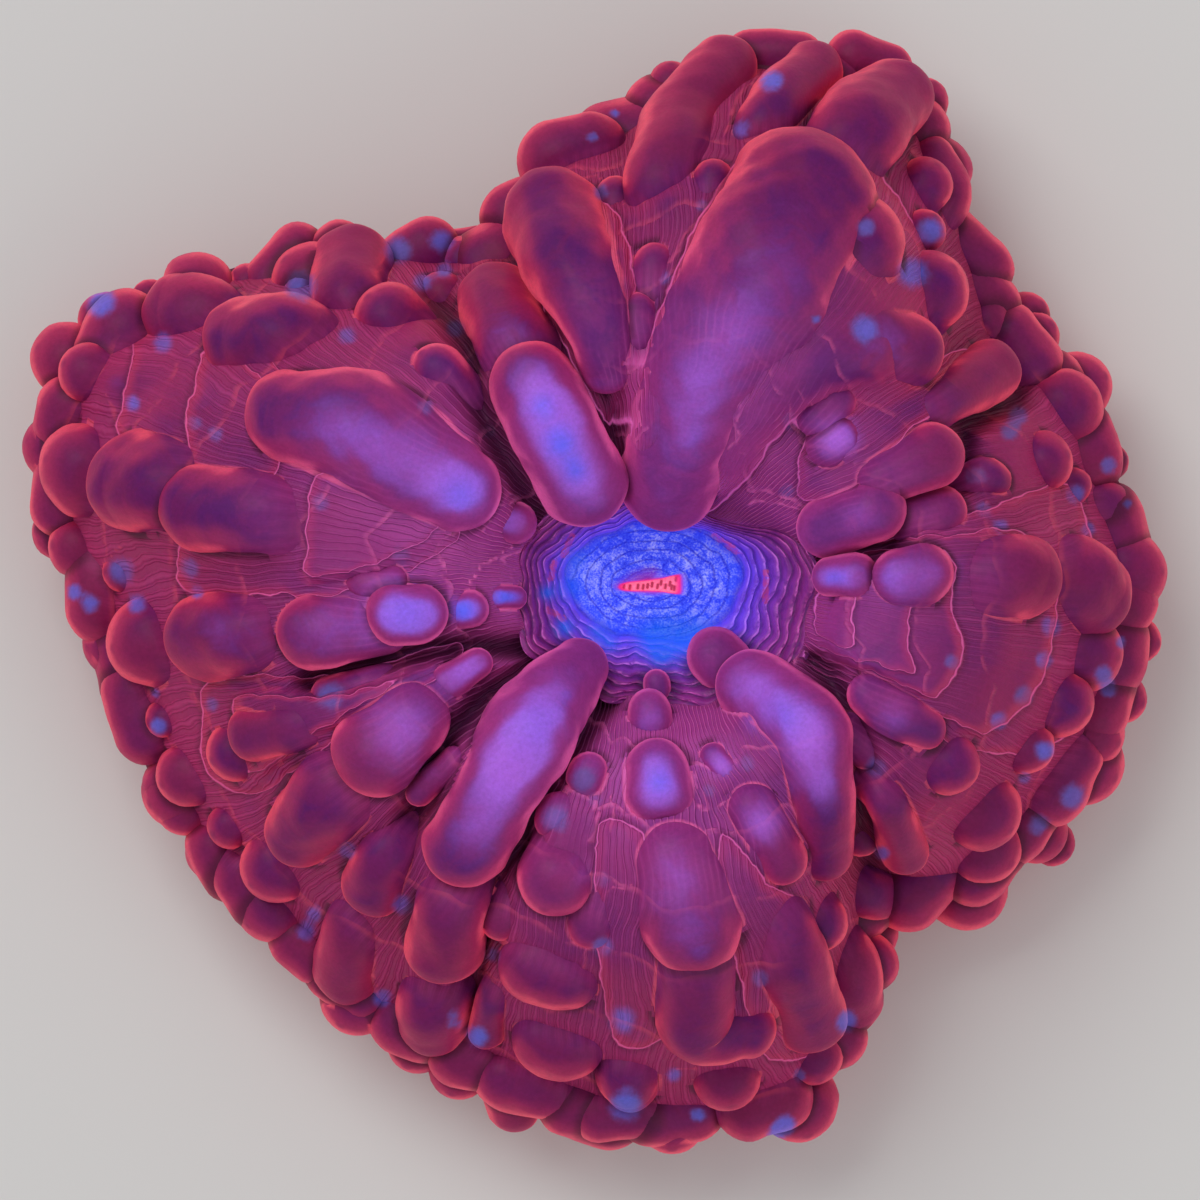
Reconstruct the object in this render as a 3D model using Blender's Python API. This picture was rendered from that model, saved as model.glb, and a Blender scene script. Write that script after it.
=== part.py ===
"""Button coral: one fleshy solitary polyp, cut off flat at its foot, in one closed solid.

The polyp is a cushion of flesh, the mantle, with a pit in its top for the oral disc and the mouth.
Inflated vesicles, which are round-ended bubbles of tissue, cover the mantle down to its foot.
All of them grew together, so they are fused into one skin and then cut flat where the polyp grew.

Frame: origin on the flat cut, straight below the mouth; +Z up through the mouth.
The tables below are in millimetres, and bearings are in degrees, anticlockwise from +X.
"""

import math

import bmesh
import bpy
import numpy as np

MM = 0.001

# Driving dimensions, in millimetres.
FOOT_RADIUS = 19.5  # of the flat cut that the polyp rests on
FOOT_SPARE = 3.0  # flesh below the cut, which the cut takes away
RIM_INSET = 2.4  # from the outline of the vesicles back to the mantle's own rim
PIT_CENTRE = (0.9, -0.6)
PIT_HALF = (7.6, 5.6)  # half length and half width of the pit round the oral disc
PIT_SHARPNESS = 2.4  # 2 is an ellipse; more is squarer
SINK = 0.1  # share of its radius by which a vesicle's middle lies below the mantle's skin
CREVICE_DEPTH = 2.6
CREVICE_WIDTH = 1.0
SKIN_VOXEL = 0.5  # of the fused skin
TRIANGLES = 9600

# The outline seen from above: (bearing, distance from the mouth).
OUTLINE = [
    (0, 32.6), (20, 31.3), (39, 29.6), (52, 33.0), (65, 37.0), (80, 35.0), (95, 30.2),
    (103, 30.0), (113, 25.2), (122, 26.2), (135, 31.0), (148, 36.4), (159, 41.2),
    (172, 39.8), (185, 36.2), (205, 34.9), (228, 33.8), (250, 34.6), (270, 36.0),
    (285, 36.4), (297, 30.6), (306, 26.0), (315, 29.6), (335, 31.4), (350, 32.3),
]

# The mantle's top, from the middle of the pit out to its edge: (share of the way, height).
PIT_PROFILE = [(0.0, 14.6), (0.5, 14.9), (0.8, 15.7), (1.0, 17.6)]
# From the edge of the pit out to the rim: (share of the way, height).
CROWN_PROFILE = [
    (0.0, 17.6), (0.08, 19.9), (0.2, 22.2), (0.35, 23.2), (0.5, 22.6), (0.65, 20.5), (0.78, 17.2),
    (0.9, 13.0), (1.0, 9.0), (1.1, 6.0),
]
# From the rim in to the foot, underneath: (share of the way, height).
UNDER_PROFILE = [(0.12, 6.4), (0.5, 3.9), (0.85, 2.6), (1.0, 0.6)]
# Broad swellings of the mantle under the lobes: (x, y, spread, rise).
SWELLINGS = [
    (9.0, 23.0, 9.5, 3.0), (-4.5, 22.5, 5.0, 1.6), (-17.0, 9.5, 6.5, 1.2), (17.0, 10.0, 5.5, 0.8),
    (-9.5, -12.0, 5.0, 0.8), (3.0, -23.0, 6.0, 0.8),
]
# Crevices that part the lobes, each along the points (x, y).
CREVICES = [
    [(-2.1, 4.6), (-2.4, 10.5), (-3.6, 13.3), (-5.8, 15.5), (-7.4, 18.5), (-9.2, 21.5)],
    [(-7.2, 4.6), (-9.3, 8.3), (-10.9, 11.8), (-11.2, 14.2), (-13.4, 17.8)],
    [(2.9, 3.4), (7.9, 3.4), (8.9, 2.1), (11.9, 1.2), (14.9, 2.4), (15.9, 4.9), (19.4, 6.4)],
    [(19.4, 6.4), (19.6, 9.7), (22.9, 11.4), (23.4, 12.9), (22.4, 15.9), (22.6, 18.6)],
    [(10.5, -5.2), (12.6, -8.0), (13.1, -12.0), (13.4, -16.0), (14.2, -18.4), (17.2, -20.6)],
    [(-2.6, -7.1), (-6.1, -12.1), (-7.9, -16.1), (-9.6, -18.1), (-11.1, -24.6), (-11.6, -28.1)],
    [(-6.1, -4.6), (-10.1, -7.1), (-12.6, -9.6), (-14.1, -13.6), (-16.1, -17.1)],
    [(-7.5, -4.2), (-11.0, -4.1), (-13.4, -4.0), (-18.0, -5.3), (-20.8, -6.0)],
]

# Each vesicle is (lift, points): how far it stands above its usual seat in the mantle, then the
# points (x, y, radius) that its middle line passes.
NORTH_LOBE = [
    (2.6, (-6.2, 22.9, 3.1), (-4.3, 19.6, 2.7), (-3.1, 16.2, 1.9)),
    (1.8, (-5.6, 26.5, 2.7), (-3.6, 27.3, 2.3)),
    (0.6, (1.4, 31.4, 1.5)),
    (2.4, (4.6, 32.5, 2.1), (2.3, 29.2, 2.4), (0.9, 25.3, 2.2)),
    (1.0, (6.4, 33.3, 1.6), (9.4, 33.3, 1.6)),
    (2.6, (10.4, 32.2, 1.9), (7.4, 28.9, 1.9)),
    (1.0, (12.9, 33.0, 1.8), (15.2, 32.5, 1.5)),
    (2.4, (15.0, 30.2, 2.8), (12.6, 27.6, 3.0)),
    (0.4, (17.5, 30.4, 1.5)),
    (0.8, (17.9, 26.7, 1.5), (18.5, 24.0, 1.9)),
    (2.0, (16.6, 25.3, 1.7)),
    (2.4, (17.2, 21.9, 1.4)),
    (3.0, (8.6, 24.2, 4.0), (6.6, 19.6, 4.2)),
    (3.0, (12.6, 20.8, 3.4)),
    (2.6, (17.4, 18.0, 2.7)),
    (2.8, (15.8, 14.3, 2.5), (12.6, 15.3, 2.6)),
    (3.4, (3.5, 14.2, 3.2), (2.1, 9.5, 3.1)),
    (1.4, (0.9, 6.0, 3.05)),
]
NORTH_WEST_LOBE = [
    (0.4, (-9.5, 17.7, 2.5), (-8.2, 14.6, 2.5)),
    (1.6, (-7.3, 12.2, 2.7), (-5.8, 9.3, 2.85), (-4.1, 6.1, 2.75)),
    (-0.6, (-11.6, 20.3, 1.6)),
    (-1.4, (-10.8, 21.2, 1.4), (-13.2, 21.2, 1.0)),
    (0.2, (-18.8, 19.6, 2.75), (-18.6, 17.6, 2.3)),
    (-1.0, (-21.3, 18.9, 2.5)),
    (0.2, (-16.2, 16.4, 2.3)),
    (0.2, (-13.1, 13.1, 1.8)),
    (-1.2, (-25.2, 18.8, 1.4)),
    (1.2, (-25.1, 15.3, 2.8), (-22.6, 15.1, 2.9)),
    (1.8, (-22.2, 10.4, 2.9), (-17.2, 9.1, 3.6), (-11.8, 5.7, 2.65)),
    (0.6, (-28.3, 16.9, 2.3), (-30.2, 12.6, 2.3)),
    (-0.4, (-34.3, 16.6, 1.8)),
    (-0.4, (-36.6, 14.0, 2.5)),
    (1.4, (-35.3, 13.2, 1.9)),
    (-0.2, (-37.4, 8.5, 2.2)),
    (0.8, (-35.4, 7.2, 3.0)),
    (1.4, (-31.8, 6.2, 3.3)),
    (1.6, (-27.8, 4.6, 2.75), (-23.8, 4.2, 2.5)),
    (-0.2, (-8.8, 3.9, 1.35)),
]
WEST_ROW = [
    (-0.8, (-37.3, 3.2, 1.7)),
    (0.0, (-35.9, 2.2, 2.0)),
    (-0.4, (-33.1, 0.6, 1.3)),
    (-0.4, (-33.7, -3.9, 2.1)),
    (0.9, (-31.2, -3.9, 2.9)),
    (1.3, (-27.5, -3.4, 2.8), (-24.6, -3.1, 2.5)),
    (1.3, (-20.9, -3.1, 2.3), (-19.4, -3.1, 2.2)),
    (1.3, (-15.7, -2.0, 1.95), (-14.4, -2.0, 1.95)),
]
SOUTH_WEST_LOBE = [
    (1.0, (-4.25, -5.3, 1.8), (-7.1, -8.8, 3.0), (-9.2, -12.6, 2.6), (-11.4, -16.4, 2.65)),
    (1.0, (-14.8, -8.7, 2.5), (-16.8, -10.6, 2.85)),
    (0.6, (-19.4, -13.0, 2.8), (-21.7, -15.5, 2.4)),
    (0.6, (-16.2, -16.8, 1.7), (-17.2, -18.8, 2.1)),
    (0.4, (-18.3, -21.2, 1.9), (-18.9, -24.4, 2.2)),
    (-0.6, (-18.2, -26.2, 2.6)),
    (-0.6, (-22.0, -23.3, 1.3)),
    (0.2, (-23.4, -17.9, 2.3)),
    (-0.8, (-23.6, -20.2, 2.6)),
    (-0.6, (-27.4, -17.0, 1.9)),
    (0.2, (-26.3, -15.3, 1.5)),
    (-0.6, (-29.6, -13.2, 2.4)),
    (0.4, (-29.0, -12.1, 2.1)),
    (0.2, (-25.8, -10.6, 1.95)),
    (0.8, (-24.4, -9.3, 1.95), (-21.5, -8.9, 1.5)),
    (-0.8, (-32.0, -8.8, 1.8)),
    (0.0, (-30.4, -8.6, 1.3)),
    (0.8, (-12.2, -20.0, 2.3), (-12.9, -22.6, 2.6)),
    (0.4, (-13.2, -26.0, 2.4), (-13.5, -27.6, 2.3)),
    (-0.8, (-14.6, -29.2, 1.9)),
    (-1.0, (-11.9, -30.8, 2.0)),
    (0.2, (-9.7, -25.4, 0.9), (-10.2, -28.1, 1.3)),
    (-0.4, (-9.3, -31.0, 1.5), (-8.5, -33.1, 1.8)),
]
SOUTH_LOBE = [
    (0.2, (0.0, -8.6, 1.4)),
    (0.8, (0.3, -11.9, 2.05), (0.5, -13.0, 2.05)),
    (0.9, (-5.9, -18.4, 2.4)),
    (0.4, (-6.8, -23.8, 2.6), (-5.4, -24.4, 2.5)),
    (0.2, (-6.1, -28.6, 2.5), (-5.1, -28.8, 2.5)),
    (-0.6, (-4.7, -32.3, 2.7), (-2.6, -33.7, 2.4)),
    (0.2, (-1.3, -30.6, 2.1), (-1.1, -31.5, 1.9)),
    (1.0, (1.25, -17.2, 2.4), (3.0, -22.6, 2.7)),
    (0.8, (2.9, -23.5, 2.4), (3.0, -27.4, 2.2), (6.3, -27.7, 1.8)),
    (0.4, (4.9, -31.1, 2.2)),
    (-0.6, (5.9, -33.2, 1.8)),
    (-0.6, (1.4, -34.0, 2.2)),
    (-0.4, (9.5, -33.0, 2.5)),
    (0.6, (8.3, -22.5, 2.5), (10.0, -27.2, 2.4)),
    (0.2, (10.3, -29.9, 1.9)),
    (-0.2, (12.4, -24.1, 2.2), (12.7, -26.5, 2.1)),
    (0.2, (10.6, -21.3, 1.9)),
    (-0.8, (14.0, -22.2, 1.9)),
]
SOUTH_EAST_LOBE = [
    (0.4, (4.65, -5.1, 1.8)),
    (1.4, (6.4, -6.5, 2.3), (9.9, -8.9, 2.35), (10.7, -12.5, 2.15), (10.9, -16.8, 1.9)),
    (0.6, (6.4, -14.0, 1.5), (8.2, -17.2, 1.7)),
    (0.2, (13.4, -6.9, 1.3), (15.6, -8.5, 1.45), (17.2, -9.2, 1.2)),
    (0.6, (19.2, -11.6, 2.1)),
    (0.6, (20.9, -14.5, 2.45)),
    (-0.6, (21.2, -16.6, 2.45)),
    (-1.8, (20.2, -19.5, 2.6)),
    (0.2, (15.0, -14.0, 1.25), (16.0, -16.8, 1.6)),
    (-0.4, (13.4, -19.4, 1.7), (15.5, -19.5, 1.85)),
]
EAST_LOBE = [
    (0.8, (15.6, 0.3, 1.9), (17.1, 0.5, 2.05)),
    (0.8, (21.8, 0.5, 2.6), (23.0, 0.3, 2.7)),
    (0.4, (26.9, 0.2, 2.7), (27.6, -0.6, 2.8)),
    (0.0, (30.2, 0.6, 2.6)),
    (-0.2, (31.0, -3.8, 1.5)),
    (0.2, (20.6, -2.6, 3.4), (21.9, -5.0, 3.1)),
    (0.0, (21.2, -7.6, 2.6)),
    (0.2, (27.4, -4.4, 2.5)),
    (0.4, (25.8, -7.6, 2.2)),
    (0.0, (23.7, -10.3, 1.8)),
    (-0.6, (30.0, -7.4, 1.6)),
    (0.0, (27.9, -9.6, 2.2)),
    (-0.8, (27.3, -11.5, 2.8)),
    (-0.4, (25.3, -13.2, 1.9)),
    (-1.2, (24.6, -15.8, 2.0)),
    (1.4, (11.0, 3.3, 1.85), (14.0, 4.4, 2.0)),
    (1.0, (14.4, 6.3, 1.6), (17.6, 7.8, 2.05)),
    (0.6, (17.8, 10.8, 1.4), (21.2, 13.1, 2.1)),
    (0.6, (11.65, 8.9, 1.5)),
    (0.4, (24.7, 7.5, 1.9)),
    (0.2, (26.1, 10.9, 2.6)),
    (-0.6, (27.1, 12.2, 2.35)),
    (-0.4, (23.9, 16.8, 1.6)),
    (0.0, (24.5, 15.6, 1.5)),
    (0.0, (21.5, 18.4, 1.4), (21.6, 16.2, 1.3)),
]
LOBES = (
    NORTH_LOBE, NORTH_WEST_LOBE, WEST_ROW, SOUTH_WEST_LOBE, SOUTH_LOBE, SOUTH_EAST_LOBE, EAST_LOBE,
)

# Rows of vesicles that carry on down the sides, below the widest part:
# (how many, distance in from the outline, height, radius).
LOWER_ROWS = [(27, 4.6, 7.4, 2.7), (23, 8.0, 4.4, 2.3)]


def outline(bearing):
    """Distance from the mouth to the vesicles' outline at a bearing in radians, point to point."""
    points = np.array(OUTLINE, dtype=float)
    return np.interp(np.degrees(bearing) % 360, points[:, 0], points[:, 1], period=360)


def pit_edge(bearing):
    """Distance from the mouth to the pit's edge: a squared-off ellipse, moved off the mouth."""
    across = np.abs(np.cos(bearing) / PIT_HALF[0]) ** PIT_SHARPNESS
    along = np.abs(np.sin(bearing) / PIT_HALF[1]) ** PIT_SHARPNESS
    moved = PIT_CENTRE[0] * np.cos(bearing) + PIT_CENTRE[1] * np.sin(bearing)
    return (across + along) ** (-1 / PIT_SHARPNESS) + moved


def crown(x, y):
    """Height of the mantle's top outside the pit: the crown's profile and the lobes' swellings."""
    bearing = np.arctan2(y, x)
    pit = pit_edge(bearing)
    share = (np.hypot(x, y) - pit) / (outline(bearing) - RIM_INSET - pit)
    table = np.array(CROWN_PROFILE)
    height = np.interp(share, table[:, 0], table[:, 1])
    for centre_x, centre_y, spread, rise in SWELLINGS:
        away = np.hypot(x - centre_x, y - centre_y) / spread
        height = height + rise * np.exp(-(away**2))
    return height


def crevice(x, y):
    """How deep the crevices cut at a point: a rounded trench along each line of points."""
    nearest = np.full(np.shape(x), np.inf)
    for line in CREVICES:
        for (ax, ay), (bx, by) in zip(line[:-1], line[1:]):
            run = np.array([bx - ax, by - ay])
            along = ((x - ax) * run[0] + (y - ay) * run[1]) / (run @ run)
            along = np.clip(along, 0, 1)
            away = np.hypot(x - ax - along * run[0], y - ay - along * run[1])
            nearest = np.minimum(nearest, away)
    return CREVICE_DEPTH * np.exp(-((nearest / CREVICE_WIDTH) ** 2))


def rings_mesh(name, rings):
    """A closed mesh from rings of points, with a single point in place of its first and last ring."""
    count, around = rings.shape[0] - 2, rings.shape[1]
    inner = rings[1:-1].reshape(-1, 3)
    points = np.vstack([rings[0, 0], inner, rings[-1, 0]]) * MM
    here = 1 + np.arange(count * around).reshape(count, around)
    beside = np.roll(here, -1, axis=1)
    walls = np.stack([here[:-1], beside[:-1], beside[1:], here[1:]], axis=-1).reshape(-1, 4)
    start = [(0, int(b), int(a)) for a, b in zip(here[0], beside[0])]
    last = len(points) - 1
    end = [(last, int(a), int(b)) for a, b in zip(here[-1], beside[-1])]
    mesh = bpy.data.meshes.new(name)
    mesh.from_pydata(points.tolist(), [], start + walls.tolist() + end)
    return mesh


def vesicle_rings(points, around=16, body=7, cap=5):
    """A round-ended bubble along its middle line.

    Between its points the middle line and the radius are smooth curves. Each end is closed by a
    half ball: ring k of a cap stands back by radius x cos(angle) and is radius x sin(angle) wide.
    """
    points = np.array(points, dtype=float)
    if len(points) == 1:
        out = points[0, :2] / max(np.hypot(*points[0, :2]), 0.001)
        step = np.array([out[0], out[1], 0.0, 0.0]) * 0.12 * points[0, 3]
        points = np.vstack([points[0] - step, points[0] + step])
    spaced = np.vstack([2 * points[0] - points[1], points, 2 * points[-1] - points[-2]])
    place = np.linspace(0, len(points) - 1, body)
    left = np.minimum(place.astype(int), len(points) - 2)
    t = (place - left)[:, None]
    a, b, c, d = (spaced[left + k] for k in range(4))
    line = 0.5 * (2 * b + (c - a) * t + (2 * a - 5 * b + 4 * c - d) * t**2)
    line += 0.5 * (3 * b - a - 3 * c + d) * t**3
    way = np.gradient(line[:, :3], axis=0)
    way /= np.linalg.norm(way, axis=1)[:, None]
    angle = np.linspace(0, math.pi / 2, cap, endpoint=False)[:, None]
    first = line[0, :3] - way[0] * line[0, 3] * np.cos(angle)
    final = line[-1, :3] + way[-1] * line[-1, 3] * np.cos(angle[::-1])
    centres = np.vstack([first, line[:, :3], final])
    radii = np.concatenate([
        line[0, 3] * np.sin(angle[:, 0]), line[:, 3], line[-1, 3] * np.sin(angle[::-1, 0]),
    ])
    ways = np.vstack([np.repeat(way[:1], cap, 0), way, np.repeat(way[-1:], cap, 0)])
    side = np.cross([0.0, 0.0, 1.0], ways)
    side /= np.linalg.norm(side, axis=1)[:, None]
    over = np.cross(ways, side)
    turn = np.linspace(0, 2 * math.pi, around, endpoint=False)[None, :, None]
    spread = side[:, None] * np.cos(turn) + over[:, None] * np.sin(turn)
    return centres[:, None] + radii[:, None, None] * spread


def mantle_rings(around=180, across=44):
    """The cushion of flesh under the vesicles, with the pit in its top and the foot below.

    In the pit a ring is a share of the way to the pit's edge, on the crown it lies between the
    pit's edge and the rim, and underneath between the rim and the round foot.
    """
    bearing = np.linspace(0, 2 * math.pi, around, endpoint=False)
    pit = pit_edge(bearing)
    rim = outline(bearing) - RIM_INSET
    rings = [(pit * share, np.full(around, height)) for share, height in PIT_PROFILE]
    for share in np.linspace(0, 1, across)[1:]:
        reach = pit + (rim - pit) * share
        x, y = reach * np.cos(bearing), reach * np.sin(bearing)
        rings.append((reach, crown(x, y) - crevice(x, y)))
    for share, height in UNDER_PROFILE:
        rings.append((rim + (FOOT_RADIUS - rim) * share, np.full(around, height)))
    rings.append((np.full(around, FOOT_RADIUS), np.full(around, -FOOT_SPARE)))
    rings.append((np.zeros(around), np.full(around, -FOOT_SPARE)))
    turned = np.stack([np.cos(bearing), np.sin(bearing)], axis=1)
    return np.stack([np.column_stack([turned * reach[:, None], z]) for reach, z in rings])


def lower_vesicles():
    """The rows below the widest part, each bubble a little different and leaning round the polyp."""
    rng = np.random.default_rng(11)
    rows = []
    for count, inset, height, radius in LOWER_ROWS:
        for k in range(count):
            bearing = 2 * math.pi * (k + rng.uniform(-0.25, 0.25)) / count
            size = radius * rng.uniform(0.86, 1.12)
            reach = float(outline(bearing)) - inset - (size - radius)
            z = height + rng.uniform(-0.5, 0.5)
            lean = rng.uniform(0.6, 1.5)
            swing = np.array([-math.sin(bearing), math.cos(bearing)]) * lean
            middle = np.array([math.cos(bearing), math.sin(bearing)]) * reach
            rows.append([(*(middle - swing), z, size), (*(middle + swing), z, size * 0.94)])
    return rows


def all_vesicles():
    """Every vesicle as a list of (x, y, z, radius) points along its middle line."""
    placed = []
    for lobe in LOBES:
        for lift, *points in lobe:
            placed.append([
                (x, y, float(crown(x, y)) - SINK * radius + lift, radius) for x, y, radius in points
            ])
    return placed + lower_vesicles()


def fused_skin(meshes):
    """One skin round all the meshes: voxels over their joined shapes, smoothed, then thinned."""
    joined = bmesh.new()
    for mesh in meshes:
        joined.from_mesh(mesh)
        bpy.data.meshes.remove(mesh)
    bmesh.ops.recalc_face_normals(joined, faces=joined.faces)
    rough = bpy.data.meshes.new("rough")
    joined.to_mesh(rough)
    joined.free()
    carrier = bpy.data.objects.new("carrier", rough)
    bpy.context.collection.objects.link(carrier)
    voxels = carrier.modifiers.new("Fuse", "REMESH")
    voxels.mode = "VOXEL"
    voxels.voxel_size = SKIN_VOXEL * MM
    smooth = carrier.modifiers.new("Smooth", "SMOOTH")
    smooth.factor = 0.5
    smooth.iterations = 3
    skin = bpy.data.meshes.new_from_object(
        carrier.evaluated_get(bpy.context.evaluated_depsgraph_get())
    )
    bpy.data.objects.remove(carrier)
    return skin


def largest_shell(mesh):
    """Keeps the outer skin alone, and drops the walls of the hollows that it closes off."""
    work = bmesh.new()
    work.from_mesh(mesh)
    unseen = set(work.verts)
    shells = []
    while unseen:
        seed = unseen.pop()
        shell, edge = {seed}, [seed]
        while edge:
            vertex = edge.pop()
            for link in vertex.link_edges:
                other = link.other_vert(vertex)
                if other not in shell:
                    shell.add(other)
                    edge.append(other)
        unseen -= shell
        shells.append(shell)
    shells.sort(key=len)
    for shell in shells[:-1]:
        bmesh.ops.delete(work, geom=list(shell), context="VERTS")
    work.to_mesh(mesh)
    work.free()


def thinned(mesh, triangles):
    """The same skin with fewer faces, kept where it curves most."""
    carrier = bpy.data.objects.new("carrier", mesh)
    bpy.context.collection.objects.link(carrier)
    mesh.calc_loop_triangles()
    thin = carrier.modifiers.new("Thin", "DECIMATE")
    thin.ratio = triangles / len(mesh.loop_triangles)
    result = bpy.data.meshes.new_from_object(
        carrier.evaluated_get(bpy.context.evaluated_depsgraph_get())
    )
    bpy.data.objects.remove(carrier)
    return result


def cut_flat(mesh):
    """Cuts the foot off flat at height 0 and closes the cut with one face."""
    work = bmesh.new()
    work.from_mesh(mesh)
    bmesh.ops.bisect_plane(
        work, geom=work.verts[:] + work.edges[:] + work.faces[:], dist=1e-6,
        plane_co=(0, 0, 0), plane_no=(0, 0, -1), clear_outer=True,
    )
    rim = [edge for edge in work.edges if edge.is_boundary]
    bmesh.ops.contextual_create(work, geom=rim)
    bmesh.ops.recalc_face_normals(work, faces=work.faces)
    bmesh.ops.triangulate(work, faces=work.faces)
    work.to_mesh(mesh)
    work.free()


def flesh_material():
    """Deep pink-red flesh, a little glossy as wet tissue is."""
    material = bpy.data.materials.new("polyp_flesh")
    material.use_nodes = True
    shader = material.node_tree.nodes["Principled BSDF"]
    shader.inputs["Base Color"].default_value = (0.33, 0.028, 0.085, 1)
    shader.inputs["Roughness"].default_value = 0.55
    shader.inputs["Metallic"].default_value = 0
    return material


def build_polyp():
    """The whole polyp as one named object."""
    meshes = [rings_mesh("mantle", mantle_rings())]
    meshes += [rings_mesh("vesicle", vesicle_rings(points)) for points in all_vesicles()]
    skin = fused_skin(meshes)
    largest_shell(skin)
    skin = thinned(skin, TRIANGLES)
    cut_flat(skin)
    skin.name = "polyp"
    skin.materials.append(flesh_material())
    skin.shade_smooth()
    polyp = bpy.data.objects.new("polyp", skin)
    bpy.context.collection.objects.link(polyp)


for old in list(bpy.data.objects):
    bpy.data.objects.remove(old)
build_polyp()
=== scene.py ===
"""Button coral: the dressed model of one inflated polyp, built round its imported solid.

The tables are in millimetres about the mouth, with bearings in degrees anticlockwise from +X.
The meshes are in metres in the solid's own frame: the cut foot on z = 0, the mouth over the origin.
"""

import math

import bpy
import numpy as np
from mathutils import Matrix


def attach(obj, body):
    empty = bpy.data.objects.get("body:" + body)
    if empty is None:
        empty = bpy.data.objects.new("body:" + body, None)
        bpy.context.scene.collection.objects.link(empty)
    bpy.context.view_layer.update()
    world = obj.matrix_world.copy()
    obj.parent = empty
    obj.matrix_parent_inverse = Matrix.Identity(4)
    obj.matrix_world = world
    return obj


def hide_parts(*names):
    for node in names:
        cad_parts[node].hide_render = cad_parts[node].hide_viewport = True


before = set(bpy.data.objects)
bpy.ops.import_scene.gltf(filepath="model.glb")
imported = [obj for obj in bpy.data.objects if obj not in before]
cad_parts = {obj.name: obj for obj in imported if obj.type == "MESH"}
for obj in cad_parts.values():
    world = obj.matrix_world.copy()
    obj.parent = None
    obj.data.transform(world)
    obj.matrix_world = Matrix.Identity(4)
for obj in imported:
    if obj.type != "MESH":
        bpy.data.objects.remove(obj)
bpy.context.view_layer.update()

# The studio. A plain pale floor lies under the foot, a broad soft lamp hangs above the polyp and a
# weaker one faces it from the other side, and a long lens looks straight down at the mouth.
MM = 0.001
FLOOR_HALF = 4.0  # metres
LENS_UP = 0.9  # metres from the floor to the lens
LENS_ACROSS = 0.0755  # metres across the view at the polyp's middle height
LENS_AT = (-3.05, -1.15)  # mm, so that the mouth lies a little right of the middle
MIDDLE_HEIGHT = 0.012  # metres
LAMP_AIM = np.array([0.0, 0.0, 0.01])  # metres
BLACK = (0, 0, 0, 1)


def shown(red, green, blue):
    """A colour in display steps from 0 to 255, as the linear colour that a shader takes."""
    steps = np.array([red, green, blue]) / 255
    linear = np.where(steps <= 0.04045, steps / 12.92, ((steps + 0.055) / 1.055) ** 2.4)
    return (*linear.tolist(), 1.0)


class Nodes:
    """Adds shader nodes to a tree. Each method gives back the socket that carries its result."""

    def __init__(self, tree):
        self.tree = tree

    def add(self, kind, inputs, **settings):
        """A node itself, with its settings, and its inputs linked or set."""
        node = self.tree.nodes.new(kind)
        for name, value in settings.items():
            setattr(node, name, value)
        for key, value in inputs.items():
            if isinstance(value, bpy.types.NodeSocket):
                self.tree.links.new(value, node.inputs[key])
            else:
                node.inputs[key].default_value = value
        return node

    def math(self, operation, *values):
        node = self.add("ShaderNodeMath", dict(enumerate(values)), operation=operation)
        return node.outputs[0]

    def times(self, first, second):
        return self.math("MULTIPLY", first, second)

    def scaled(self, value, factor, more):
        """value x factor + more."""
        return self.math("MULTIPLY_ADD", value, factor, more)

    def wavering(self, value, noise, much):
        """A value moved up and down by a noise, which runs from 0 to 1, over a range of much."""
        return self.scaled(self.math("SUBTRACT", noise, 0.5), much, value)

    def rise(self, value, low, high):
        """0 below low and 1 above high, with a soft step between; falls where low is the larger."""
        swap = low > high
        inputs = {"Value": value, "From Min": min(low, high), "From Max": max(low, high)}
        inputs |= {"To Min": float(swap), "To Max": float(not swap)}
        node = self.add("ShaderNodeMapRange", inputs, interpolation_type="SMOOTHSTEP")
        return node.outputs["Result"]

    def blend(self, share, first, second, how="MIX"):
        inputs = {0: share, 6: first, 7: second}
        node = self.add("ShaderNodeMix", inputs, data_type="RGBA", blend_type=how)
        return node.outputs[2]

    def tint(self, share, first, second):
        """A blend of two colours that are given in display steps."""
        return self.blend(share, shown(*first), shown(*second))

    def cover(self, colour, share, most, other):
        """A colour with another laid over it, by a share of the most that it may cover."""
        return self.blend(self.times(share, most), colour, other)

    def noise(self, place, scale, detail=2.0, rough=0.5, warp=0.0):
        inputs = {"Vector": place, "Scale": scale, "Detail": detail, "Roughness": rough}
        return self.add("ShaderNodeTexNoise", inputs | {"Distortion": warp}).outputs["Fac"]

    def held(self, name):
        """A number that the mesh holds at its points."""
        return self.add("ShaderNodeAttribute", {}, attribute_name=name).outputs["Fac"]


def skin_material(name, roughness, specular):
    """A new material, its nodes and its Principled shader."""
    material = bpy.data.materials.new(name)
    material.use_nodes = True
    shader = material.node_tree.nodes["Principled BSDF"]
    shader.inputs["Roughness"].default_value = roughness
    shader.inputs["Specular IOR Level"].default_value = specular
    return material, Nodes(material.node_tree), shader


def placed(name, data):
    """A new object in the scene."""
    thing = bpy.data.objects.new(name, data)
    bpy.context.scene.collection.objects.link(thing)
    return thing


floor_mesh = bpy.data.meshes.new("floor")
floor_mesh.from_pydata(
    [(x * FLOOR_HALF, y * FLOOR_HALF, 0.0) for x, y in ((-1, -1), (1, -1), (1, 1), (-1, 1))],
    [], [(0, 1, 2, 3)],
)
floor = placed("floor", floor_mesh)
floor_paint, _, floor_shader = skin_material("floor_paint", 0.9, 0.1)
floor_shader.inputs["Base Color"].default_value = shown(214, 213, 210)
floor_mesh.materials.append(floor_paint)

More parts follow.
